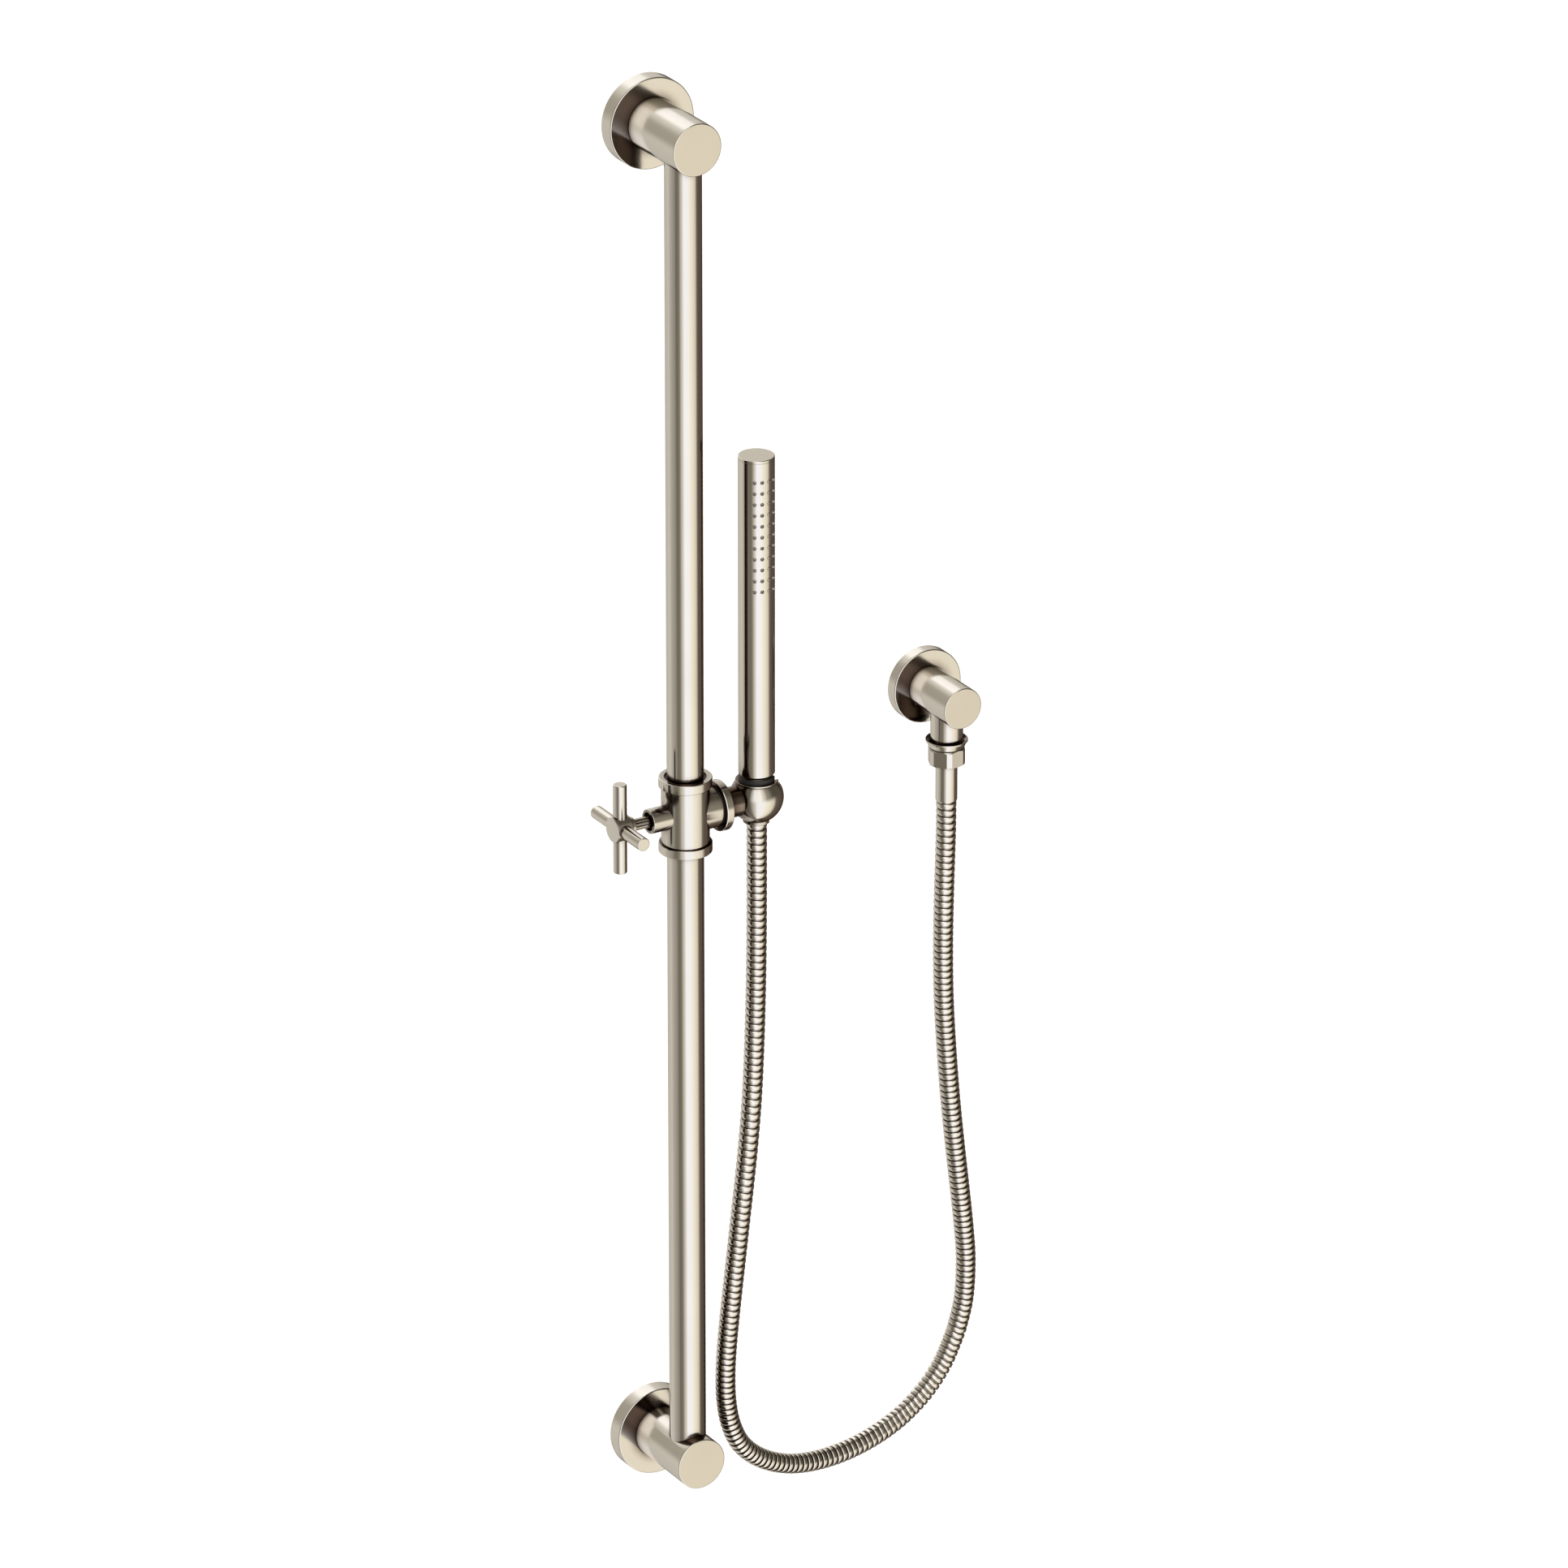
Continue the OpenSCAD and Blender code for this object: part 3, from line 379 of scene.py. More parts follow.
# Painted shade: the flat ends' nickel is darker than the rest.
END_SHADE_NICKEL = (0.73, 0.68, 0.60)
HOSE_METAL = (0.83, 0.78, 0.71)
MATERIALS = {
    "nickel": brushed("nickel", NICKEL, 0.13, turned=True),
    "nickel_plain": brushed("nickel_plain", NICKEL, 0.13, turned=False),
    # The covers' colour is not painted dark where they are seen in reflections.
    "cover_nickel": brushed("cover_nickel", NICKEL, 0.13, turned=True, reach=0.012, dark_reflections=False),
    "post_nickel": brushed("post_nickel", NICKEL, 0.15, turned=True, reach=0.008),
    "end_shade_nickel": brushed("end_shade_nickel", END_SHADE_NICKEL, 0.15, turned=True, reach=0.008),
    # Painted shade: the ball's corner shade reaches farther, and the neck's copy of it is shaded dark
    # brown nearly all over.
    "ball_nickel": brushed("ball_nickel", NICKEL, 0.13, True, reach=0.045, closed=0.58, open_=0.98),
    "neck_shade_nickel": brushed("neck_shade_nickel", NICKEL, 0.13, True, reach=0.045, closed=0.85, open_=1.1),
    "hose_metal": brushed("hose_metal", HOSE_METAL, 0.12, turned=False, reach=0.004),
    "plain_brass": brushed("plain_brass", (0.80, 0.62, 0.33), 0.3, turned=False),
    "steel": brushed("steel", (0.64, 0.64, 0.63), 0.25, turned=False),
    "dark_nylon": moulded("dark_nylon", (0.03, 0.028, 0.026), 0.45),
    "black_rubber": moulded("black_rubber", (0.02, 0.02, 0.02), 0.6),
    "nozzle_rubber": moulded("nozzle_rubber", (0.55, 0.51, 0.46), 0.13, metallic=0.9),
    "white_plastic": moulded("white_plastic", (0.80, 0.80, 0.77), 0.35),
}
NODE_SLOT = {part["node"]: part["material_slot"] for part in frame["record"]["subparts"]}


def dress_cad_nodes():
    """Every CAD node gets its slot's material; those that a finer piece replaces are hidden later."""
    for name, node in frame["nodes"].items():
        slot_name = NODE_SLOT[name]
        material = MATERIALS["nickel_plain" if slot_name == "nickel" else slot_name]
        if not node.data.materials:
            node.data.materials.append(material)
        for material_slot in node.material_slots:
            material_slot.material = material


dress_cad_nodes()

# ---------------------------------------------------------------- mesh helpers


def rounded(corners, steps=5, closed=True):
    """An outline of (radius, height, rounding) corners, with each corner turned into an arc."""
    outline = []
    count = len(corners)
    for index, (radius, height, rounding) in enumerate(corners):
        here = Vector((radius, height))
        at_end = not closed and index in (0, count - 1)
        if rounding <= 0 or at_end:
            outline.append(here)
            continue
        before = Vector(corners[index - 1][:2]) - here
        after = Vector(corners[(index + 1) % count][:2]) - here
        half = before.angle(after) / 2
        reach = min(rounding / math.tan(half), 0.45 * before.length, 0.45 * after.length)
        start, finish = here + before.normalized() * reach, here + after.normalized() * reach
        bow = reach * math.tan(half)
        centre = here + (before.normalized() + after.normalized()).normalized() * (reach / math.cos(half))
        sweep = (start - centre).angle_signed(finish - centre)
        margin = 0.12 * bow
        outline.append(start + before.normalized() * margin)
        for step in range(steps + 1):
            spoke = (start - centre).copy()
            spoke.rotate(Matrix.Rotation(-sweep * step / steps, 2))
            outline.append(centre + spoke)
        outline.append(finish + after.normalized() * margin)
    return outline


AXES = {
    "up": Matrix(((1, 0, 0), (0, 1, 0), (0, 0, 1))),
    "out": Matrix(((1, 0, 0), (0, 0, -1), (0, 1, 0))),
    "right": Matrix(((0, 0, 1), (1, 0, 0), (0, 1, 0))),
    "left": Matrix(((0, 0, -1), (-1, 0, 0), (0, 1, 0))),
}


def revolve(name, outline, axis, centre, closed=True, steps=96, start=0.0):
    """A turned piece: outline is (radius, distance along the axis), centre is where distance 0 lies."""
    basis, centre, outline = AXES[axis], Vector(centre), [Vector(point) for point in outline]
    bm = bmesh.new()
    texture = bm.loops.layers.uv.new("UVMap")
    rings, lengths, length = [], [], 0.0
    for index, point in enumerate(outline):
        if index:
            length += (point - outline[index - 1]).length
        lengths.append(length)
        if point[0] < 1e-6:
            rings.append([bm.verts.new((centre + basis @ Vector((0, 0, point[1]))) * MM)])
            continue
        ring = []
        for k in range(steps):
            turn = start + math.tau * k / steps
            spot = Vector((point[0] * math.cos(turn), point[0] * math.sin(turn), point[1]))
            ring.append(bm.verts.new((centre + basis @ spot) * MM))
        rings.append(ring)
    pairs = list(zip(range(len(rings) - 1), range(1, len(rings))))
    if closed:
        pairs.append((len(rings) - 1, 0))
        lengths.append(length + (outline[0] - outline[-1]).length)
    for a, b in pairs:
        after = lengths[b] if b else lengths[-1]
        for k in range(steps):
            n = (k + 1) % steps
            corners = [rings[a][k % len(rings[a])], rings[a][n % len(rings[a])],
                       rings[b][n % len(rings[b])], rings[b][k % len(rings[b])]]
            marks = [(k / steps, lengths[a]), ((k + 1) / steps, lengths[a]),
                     ((k + 1) / steps, after), (k / steps, after)]
            kept = [(c, m) for i, (c, m) in enumerate(zip(corners, marks)) if c not in corners[:i]]
            face = bm.faces.new([c for c, m in kept])
            for loop, (c, m) in zip(face.loops, kept):
                loop[texture].uv = m
    bmesh.ops.recalc_face_normals(bm, faces=bm.faces)
    return as_object(name, bm)


def turned_ring(name, corners, axis, centre, steps=96):
    """A turned ring from an outline of (radius, height, rounding) corners."""
    return revolve(name, rounded(corners), axis, centre, steps=steps)


def turned_solid(name, corners, axis, centre, steps=96):
    """A turned piece whose outline starts and ends on its own axis."""
    return revolve(name, rounded(corners, closed=False), axis, centre, closed=False, steps=steps)


def as_object(name, bm):
    mesh = bpy.data.meshes.new(name)
    bm.to_mesh(mesh)
    bm.free()
    made = bpy.data.objects.new(name, mesh)
    scene.collection.objects.link(made)
    return made


def rod(name, radius, start, finish, axis, centre, steps=96):
    """A plain closed cylinder, used for cuts and joins."""
    outline = [(0, start), (radius, start), (radius, finish), (0, finish)]
    return revolve(name, outline, axis, centre, closed=False, steps=steps)


def combine(target, tools, operation):
    """Joins the tools to the target or cuts them out of it, and keeps the result as its mesh."""
    for tool in tools:
        modifier = target.modifiers.new(operation, "BOOLEAN")
        modifier.operation = operation
        modifier.solver = "EXACT"
        modifier.object = tool
        bake(target)
        bpy.data.objects.remove(tool)


def bake(target):
    """Applies the target's modifiers."""
    bpy.context.view_layer.update()
    evaluated = target.evaluated_get(bpy.context.evaluated_depsgraph_get())
    mesh = bpy.data.meshes.new_from_object(evaluated)
    target.modifiers.clear()
    old, target.data = target.data, mesh
    bpy.data.meshes.remove(old)


def soften(target, width):
    """Rounds the sharp edges of a cut piece."""
    modifier = target.modifiers.new("edges", "BEVEL")
    modifier.width = width * MM
    modifier.segments = 2
    modifier.limit_method = "ANGLE"
    modifier.angle_limit = math.radians(28)
    modifier.use_clamp_overlap = True
    bake(target)


def dress(piece, body, node, material, sharp=32):
    """Gives a piece its material, its smooth shading and its body, and hides the CAD node it stands for.
    """
    piece.data.materials.clear()
    piece.data.materials.append(MATERIALS[material])
    piece.data.shade_smooth()
    piece.data.set_sharp_from_angle(angle=math.radians(sharp))
    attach(piece, body)
    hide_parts(node)


def shade_flat_end(piece, outwards, distance):
    """The flat end of a bar gets a duller copy of the nickel, whose darker colour is painted shade."""
    piece.data.materials.append(MATERIALS["end_shade_nickel"])
    outwards = Vector(outwards)
    for face in piece.data.polygons:
        if face.normal.dot(outwards) > 0.99 and face.center.dot(outwards) / MM > distance - 0.1:
            face.material_index = 1


def metal(piece, body, node, sharp=32):
    dress(piece, body, node, "nickel", sharp)


# ---------------------------------------------------------------- hose

# The hose's resting route in millimetres, from the hand shower to the elbow. It is the
# route of part.scad, which runs the other way.
HOSE_D, HOSE_SIDES = 14.0, 44
HANGING = [
    (55.4, -52, 468.8), (55.4, -52, 425), (55.2, -52, 380), (54.6, -52, 340), (53.4, -52, 300),
    (51.6, -52, 262), (49, -52, 230), (45.8, -52, 200), (42.2, -52, 170), (38.6, -52, 140),
    (35, -52, 110), (31.8, -51.9, 80), (30.2, -51.8, 55), (31, -51.6, 32)]
BOTTOM = [
    (31, -51.6, 32), (35.2, -51.2, 12), (44.5, -50.3, -6), (62, -48.7, -21.5), (86, -46.6, -32.4),
    (115, -44, -36.6), (146, -41.3, -34), (175, -38.8, -25), (198, -36.8, -10.5), (215, -35.2, 8),
    (226.4, -34.4, 30)]
RISING = [
    (226.4, -34.4, 30), (232.6, -34, 53), (234.2, -34, 82), (232.4, -34, 108), (228.6, -34.3, 140),
    (224.2, -34.6, 175), (220, -34.9, 212), (216.6, -35.2, 250), (214, -35.4, 290),
    (213.4, -35.2, 330), (214.2, -34.8, 370), (215.6, -34.3, 410), (216, -34, 435.7)]

# The strip's pitch where the hose starts, along its bottom, and at the elbow
TOP_PITCH, LOW_PITCH, BOTTOM_PITCH, END_PITCH = 5.2, 4.3, 4.2, 4.9
# One turn of the metal strip: share of the pitch, and share of the hose's radius
STRIP = [(0.02, 0.84), (0.10, 0.84), (0.13, 0.945), (0.17, 0.98), (0.32, 0.998), (0.5, 1.0),
         (0.68, 0.998), (0.83, 0.98), (0.87, 0.945), (0.90, 0.84), (0.98, 0.84)]


def curved(points, steps=12):
    """Points on a Catmull-Rom curve through the given ones."""
    spots = [Vector(p) for p in points]
    made = []
    for i in range(len(spots) - 1):
        a, b, c, d = (spots[min(max(i + k, 0), len(spots) - 1)] for k in (-1, 0, 1, 2))
        for step in range(steps):
            t = step / steps
            made.append(0.5 * (2 * b + (c - a) * t + (2 * a - 5 * b + 4 * c - d) * t * t
                               + (3 * b - a - 3 * c + d) * t ** 3))
    return made + [spots[-1]]


def distances(line):
    """How far each point of a line is along it."""
    along = [0.0]
    for a, b in zip(line, line[1:]):
        along.append(along[-1] + (b - a).length)
    return along


def place_on(line, along, distance):
    """The point at a distance along a line, and the line's direction there."""
    distance = min(max(distance, 0.0), along[-1])
    index = max(1, min(bisect.bisect_left(along, distance), len(line) - 1))
    share = (distance - along[index - 1]) / (along[index] - along[index - 1])
    before = (line[index] - line[max(index - 2, 0)]).normalized()
    after = (line[min(index + 1, len(line) - 1)] - line[index - 1]).normalized()
    return line[index - 1].lerp(line[index], share), before.lerp(after, share).normalized()


def ribbed_tube(name, line, pitch_first, pitch_last):
    """A metal hose along a line, in whole turns of its strip, with plain closed ends."""
    along = distances(line)
    turns = round(2 * along[-1] / (pitch_first + pitch_last))
    pitches = [pitch_first + (pitch_last - pitch_first) * (k + 0.5) / turns for k in range(turns)]
    fit = along[-1] / sum(pitches)
    rings, start = [(0.0, STRIP[0][1])], 0.0
    for pitch in pitches:
        rings += [(start + share * pitch * fit, radius) for share, radius in STRIP]
        start += pitch * fit
    rings.append((along[-1], STRIP[-1][1]))
    bm = bmesh.new()
    made = []
    for distance, radius in rings:
        centre, heading = place_on(line, along, distance)
        side = heading.cross(Vector((0, 1, 0))).normalized()
        up = side.cross(heading)
        ring = []
        for k in range(HOSE_SIDES):
            turn = math.tau * k / HOSE_SIDES
            spoke = math.cos(turn) * side + math.sin(turn) * up
            ring.append(bm.verts.new((centre + spoke * radius * HOSE_D / 2) * MM))
        made.append(ring)
    for a, b in zip(made, made[1:]):
        for k in range(HOSE_SIDES):
            n = (k + 1) % HOSE_SIDES
            bm.faces.new((a[k], b[k], b[n], a[n]))
    bm.faces.new(made[0])
    bm.faces.new(reversed(made[-1]))
    bmesh.ops.recalc_face_normals(bm, faces=bm.faces)
    piece = as_object(name, bm)
    piece.data.materials.append(MATERIALS["hose_metal"])
    piece.data.shade_smooth()
    piece.data.set_sharp_from_angle(angle=math.radians(60))
    return piece


# The hanging side in lengths: name, the two bodies that it lies between, the heights of its ends,
# and how far each end would go with the second body; in the last three these shares run down
# to half at the loop. Only the names and the heights are read; the bodies and the shares are not used.
HANGING_LENGTHS = [
    ("hose_in_holder", "hose_end", "holder", 463.0, 438.0, 0.0, 1.0),
    ("hose_below_holder", "holder", "slider", 438.0, 392.0, 0.0, 1.0),
    ("hose_below_slider", "slider", "glide", 392.0, 351.0, 0.0, 1.0),
    ("hose_slide_high", "glide", "wall_set", 351.0, 265.0, 0.0, 0.103),
    ("hose_slide_middle", "glide", "wall_set", 265.0, 206.0, 0.103, 0.22),
    ("hose_hanging", "glide", "wall_set", 206.0, 50.0, 0.22, 0.5)]


def make_hose():
    """One real hose, drawn in lengths; only its bottom length goes with a body, the loop."""
    falling = curved(HANGING + BOTTOM[1:])
    made = {}
    for name, first, second, high, low, share_high, share_low in HANGING_LENGTHS:
        line = cut(falling, HANGING[0][2] if not made else high, low)
        last_pitch = LOW_PITCH if name == "hose_hanging" else TOP_PITCH
        piece = ribbed_tube(name, line, TOP_PITCH, last_pitch)
        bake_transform(piece)
        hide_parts("hose_drop")
        made[name] = piece, line

    low = HANGING_LENGTHS[-1][4]
    bottom = [at_height(falling, low)] + falling[index_below(falling, low):]
    piece = ribbed_tube("hose_bottom", bottom, BOTTOM_PITCH, LOW_PITCH)
    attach(piece, "loop")
    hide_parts("hose_loop")

    rising = curved(RISING)
    piece = ribbed_tube("hose_rising", rising, LOW_PITCH, END_PITCH)
    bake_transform(piece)
    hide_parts("hose_riser")


def index_below(line, height):
    """The first point of a falling line that is below a height."""
    return next(i for i, p in enumerate(line) if p.z < height)


def at_height(line, height):
    """The point where a falling line passes a height."""
    i = index_below(line, height)
    above, below = line[i - 1], line[i]
    return above.lerp(below, (above.z - height) / (above.z - below.z))


def cut(line, high, low):
    """The length of a falling line between two heights."""
    top = line[0] if high >= line[0].z else at_height(line, high)
    inner = [p for p in line[:index_below(line, low)] if low < p.z < top.z]
    return [top] + inner + [at_height(line, low)]


make_hose()

# ---------------------------------------------------------------- rail, posts and flanges

GAP = 0.05  # radial clearance between pieces that fit together
OVER = 1.0  # how far a cut runs past the face that it opens


def make_rail():
    wall, edge = 1.2, 0.25
    low, high, inner = RAIL_LOW.z, RAIL_HIGH.z, RAIL_R - wall
    corners = [(RAIL_R, low, edge), (RAIL_R, high, edge), (inner, high, edge), (inner, low, edge)]
    metal(turned_ring("rail", corners, "up", (0, RAIL_Y, 0), steps=128), "wall_set", "rail_tube")


def make_post(name, height, upwards):
    """A post is a solid bar with a bore for its bracket behind and one for the rail."""
    low, high = box(name)
    back, front = -high.y, -low.y
    spigot_r, spigot_deep, rail_pad = 13.25, 25.0, 2.0
    screw_r, screw_deep = 2.55, 6.0
    corners = [(0, front, 0), (POST_R, front, 0.7), (POST_R, back, 0.2), (spigot_r, back, 0.2),
               (spigot_r, spigot_deep, 0), (0, spigot_deep, 0)]
    piece = turned_solid(name + "_bar", corners, "out", (0, 0, height), steps=128)
    way = 1 if upwards else -1
    ends = way * (RAIL_LOW.z - rail_pad), way * (POST_R + 5 * OVER)
    rail_hole = rod("cut", RAIL_R + GAP, min(ends), max(ends), "up", (0, RAIL_Y, height), 128)
    screw_axis = (0, middle("post_set_screws").y, height)
    screw_hole = rod("cut", screw_r, -POST_R - 3 * OVER, screw_deep - POST_R, "up", screw_axis, 32)
    combine(piece, [rail_hole, screw_hole], "DIFFERENCE")
    soften(piece, 0.22)
    dress(piece, "wall_set", name, "post_nickel")
    shade_flat_end(piece, (0, -1, 0), front)


def make_flange(name, hole):
    """A hollow round cover, open towards the wall."""
    low, high = box(name)
    centre = (low + high) / 2
    radius, depth, wall = (high.x - low.x) / 2, -low.y, 1.6
    corners = [(radius, 0, 0.25), (radius, depth, 0.8), (hole, depth, 0.25), (hole, depth - wall, 0.2),
               (radius - wall, depth - wall, 0.8), (radius - wall, 0, 0.25)]
    piece = turned_ring(name + "_cover", corners, "out", (centre.x, 0, centre.z), steps=144)
    dress(piece, "wall_set", name, "cover_nickel")


ELBOW_LOW, ELBOW_HIGH = box("elbow_body")
ELBOW_R, ELBOW_HOLE_R = (ELBOW_HIGH.x - ELBOW_LOW.x) / 2, 14.75

make_rail()
make_post("lower_post", 0, True)
make_post("upper_post", POST_TOP_Z, False)
make_flange("lower_wall_flange", POST_R + GAP)
make_flange("upper_wall_flange", POST_R + GAP)
make_flange("elbow_flange", ELBOW_HOLE_R)

# ---------------------------------------------------------------- outlet elbow

RING_LOW, RING_HIGH = box("outlet_ring")
NUT_LOW, NUT_HIGH = box("hose_nut")
FERRULE_LOW, FERRULE_HIGH = box("hose_ferrule")
DROP_AXIS = (DROP.x, DROP.y, 0)
DROP_R = 11.2  # the elbow's down tube
RING_DISH = 1.5  # how deep the ring is dished round it
THREAD_R = 10.45  # bore of every nut over a half-inch thread
TAIL_HOLE_R = 5.6  # bore for the hose's tail


def make_elbow():
    front, low = -ELBOW_LOW.y, ELBOW_LOW.z
    inlet_r, inlet_deep, water_r, valve_r = 9.5, 14.0, 6.0, 7.05
    tube_end, valve_top = RING_HIGH.z - RING_DISH, box("check_valve")[1].z
    axis = (ELBOW.x, 0, ELBOW.z)
    corners = [(0, front, 0), (ELBOW_R, front, 0.7), (ELBOW_R, 0, 0.2), (inlet_r, 0, 0.3),
               (inlet_r, inlet_deep, 0), (0, inlet_deep, 0)]
    piece = turned_solid("elbow", corners, "out", axis, steps=128)
    combine(piece, [rod("join", DROP_R, tube_end, ELBOW.z, "up", DROP_AXIS),
                    rod("join", THREAD_R - GAP, low, tube_end + OVER, "up", DROP_AXIS)], "UNION")
    combine(piece, [rod("cut", water_r, inlet_deep - OVER, -DROP.y, "out", axis, 48),
                    rod("cut", water_r, low - OVER, ELBOW.z, "up", DROP_AXIS, 48),
                    rod("cut", valve_r, low - OVER, valve_top, "up", DROP_AXIS, 48)], "DIFFERENCE")
    dress(piece, "wall_set", "elbow_body", "post_nickel")
    shade_flat_end(piece, (0, -1, 0), front)


def make_outlet_ring():
    """A flared ring, dished on top round the down tube."""
    low, top = RING_LOW.z, RING_HIGH.z
    radius, dish, flare, rim = (RING_HIGH.x - RING_LOW.x) / 2, top - RING_DISH, 2.2, 1.0
    corners = [(THREAD_R, low, 0), (radius - flare, low, 0.3), (radius - 0.7, dish, 0.3),
               (radius, dish + 0.2, 0.2), (radius, top, 0.4), (radius - rim, top, 0.25),
               (DROP_R + 2 * GAP, dish, 0.1), (THREAD_R, dish, 0)]
    metal(turned_ring("flared_ring", corners, "up", DROP_AXIS), "wall_set", "outlet_ring")


def make_nut():
    """A hexagon nut, its corners turned off at the top, over the hose tail's flange."""
    flats, web, corner_r, first_corner = 24.0, 1.5, 12.9, math.radians(-112)
    low, top = NUT_LOW.z, NUT_HIGH.z
    corners = [(TAIL_HOLE_R, low, 0.2), (corner_r, low, 0.5), (corner_r, top - 1, 0.2),
               (flats / 2, top, 0.2), (THREAD_R, top, 0.3), (THREAD_R, low + web, 0),
               (TAIL_HOLE_R, low + web, 0)]
    piece = turned_ring("nut", corners, "up", DROP_AXIS, steps=144)
    across = flats / 2 / math.cos(math.pi / 6)
    outline = [(0, low - OVER), (across, low - OVER), (across, top + OVER), (0, top + OVER)]
    hexagon = revolve("join", outline, "up", DROP_AXIS, closed=False, steps=6, start=first_corner)
    combine(piece, [hexagon], "INTERSECT")
    metal(piece, "wall_set", "hose_nut", sharp=20)


def make_ferrule():
    low, top = FERRULE_LOW.z, FERRULE_HIGH.z
    radius = (FERRULE_HIGH.x - FERRULE_LOW.x) / 2
    corners = [(TAIL_HOLE_R, low, 0.2), (radius - 0.5, low, 0.3), (radius, low + 1.2, 0.4),
               (radius, top, 0.3), (TAIL_HOLE_R, top, 0.2)]
    metal(turned_ring("ferrule", corners, "up", DROP_AXIS), "wall_set", "hose_ferrule")


make_elbow()
make_outlet_ring()
make_nut()
make_ferrule()

# ---------------------------------------------------------------- slider and clamp

SLIDER_AXIS = (0, RAIL_Y, SLIDER_Z)
COLLAR_LOW, COLLAR_HIGH = box("upper_collar")
BUSH_LOW, BUSH_HIGH = box("upper_bush")
BUSH_R = (BUSH_HIGH.x - BUSH_LOW.x) / 2 + GAP
BODY_R = 16.4
BODY_TOP = box("slider_body")[1].z - SLIDER_Z
SCREW_R = 4.0  # the clamp screw's stem


def make_slider_body():
    """The body on the rail, with the clamp's boss on its left and the holder's on its right."""
    low, high = box("slider_body")
    left, right, end = -low.x, high.x, BODY_TOP + OVER
    boss_r, pivot_r, bore_r, inside = 8.5, 14.2, 13.2, 10.0
    pad_r, pad_end, pivot_hole_r, pivot_hole_end = 4.55, 18.2, 2.55, 14.5
    recess_r, recess_deep = 6.4, 4.0
    bush_low = BUSH_LOW.z - SLIDER_Z - GAP
    body = [(0, -BODY_TOP, 0), (BODY_R, -BODY_TOP, 0.3), (BODY_R, BODY_TOP, 0.3), (0, BODY_TOP, 0)]
    clamp = [(0, 0, 0), (boss_r, 0, 0), (boss_r, left, 0.5), (0, left, 0)]
    pivot = [(0, 0, 0), (pivot_r, 0, 0), (pivot_r, right, 0.5), (0, right, 0)]
    recess = [(0, left + OVER, 0), (recess_r + 0.5, left + OVER, 0), (recess_r, left - 0.4, 0.2),
              (recess_r, left - recess_deep, 0.6), (0, left - recess_deep, 0)]
    piece = turned_solid("slider", body, "up", SLIDER_AXIS, steps=128)
    combine(piece, [turned_solid("join", clamp, "left", SLIDER_AXIS),
                    turned_solid("join", pivot, "right", SLIDER_AXIS)], "UNION")
    combine(piece, [rod("cut", bore_r, -end, end, "up", SLIDER_AXIS),
                    rod("cut", BUSH_R, bush_low, end, "up", SLIDER_AXIS),
                    rod("cut", BUSH_R, -end, -bush_low, "up", SLIDER_AXIS),
                    turned_solid("cut", recess, "left", SLIDER_AXIS),
                    rod("cut", SCREW_R + GAP, inside, left - OVER, "left", SLIDER_AXIS, 48),
                    rod("cut", pad_r, inside, pad_end, "left", SLIDER_AXIS, 48),
                    rod("cut", pivot_hole_r, pivot_hole_end, right + OVER, "right", SLIDER_AXIS, 48)],
            "DIFFERENCE")
    metal(piece, "slider", "slider_body")


def make_collar(name, way):
    """A collar screws over the body's end and holds the bush with its lip."""
    top, low = COLLAR_HIGH.z - SLIDER_Z, COLLAR_LOW.z - SLIDER_Z
    radius, lip, opening, inner = (COLLAR_HIGH.x - COLLAR_LOW.x) / 2, 1.3, 14.0, BODY_R + GAP
    corners = [(inner, low, 0.2), (radius, low, 0.45), (radius, top, 0.6), (opening + 0.3, top, 0.25),
               (opening, top - lip, 0), (BUSH_R, top - lip, 0), (BUSH_R, BODY_TOP, 0),
               (inner, BODY_TOP, 0)]
    corners = [(r, way * z, soft) for r, z, soft in corners]
    metal(turned_ring(name + "_ring", corners, "up", SLIDER_AXIS, steps=112), "slider", name)


def make_clamp_screw():
    """The clamp screw, with a fluted stem between the boss and the handle's neck."""
    low, high = box("clamp_screw")
    inner, outer, stem_end, flute_start = -high.x, -low.x, -box("handle_hub")[1].x, 25.3
    pin_r, hole_r, hole_deep, step = 3.0, 2.05, 8.0, 0.3
    corners = [(0, inner, 0), (SCREW_R, inner, 0.3), (SCREW_R, flute_start, 0),
               (SCREW_R, flute_start + step, 0), (SCREW_R, stem_end - step, 0), (SCREW_R, stem_end, 0),
               (pin_r, stem_end, 0), (pin_r, outer, 0.3), (hole_r, outer, 0.2),
               (hole_r, outer - hole_deep, 0), (0, outer - hole_deep, 0)]
    piece = turned_solid("clamp_stem", corners, "left", SLIDER_AXIS, steps=160)
    flutes, depth = 10, 0.75
    for vertex in piece.data.vertices:
        along, y, z = -vertex.co.x / MM, vertex.co.y / MM - RAIL_Y, vertex.co.z / MM - SLIDER_Z
        reach = math.hypot(y, z)
        if flute_start + 0.2 < along < stem_end + 0.01 and reach > pin_r + 0.1:
            turn = math.atan2(z, y) * flutes
            smaller = 1 - depth * max(0.0, math.cos(turn)) ** 1.6 / reach
            vertex.co.y = (RAIL_Y + y * smaller) * MM
            vertex.co.z = (SLIDER_Z + z * smaller) * MM
    metal(piece, "handle", "clamp_screw")


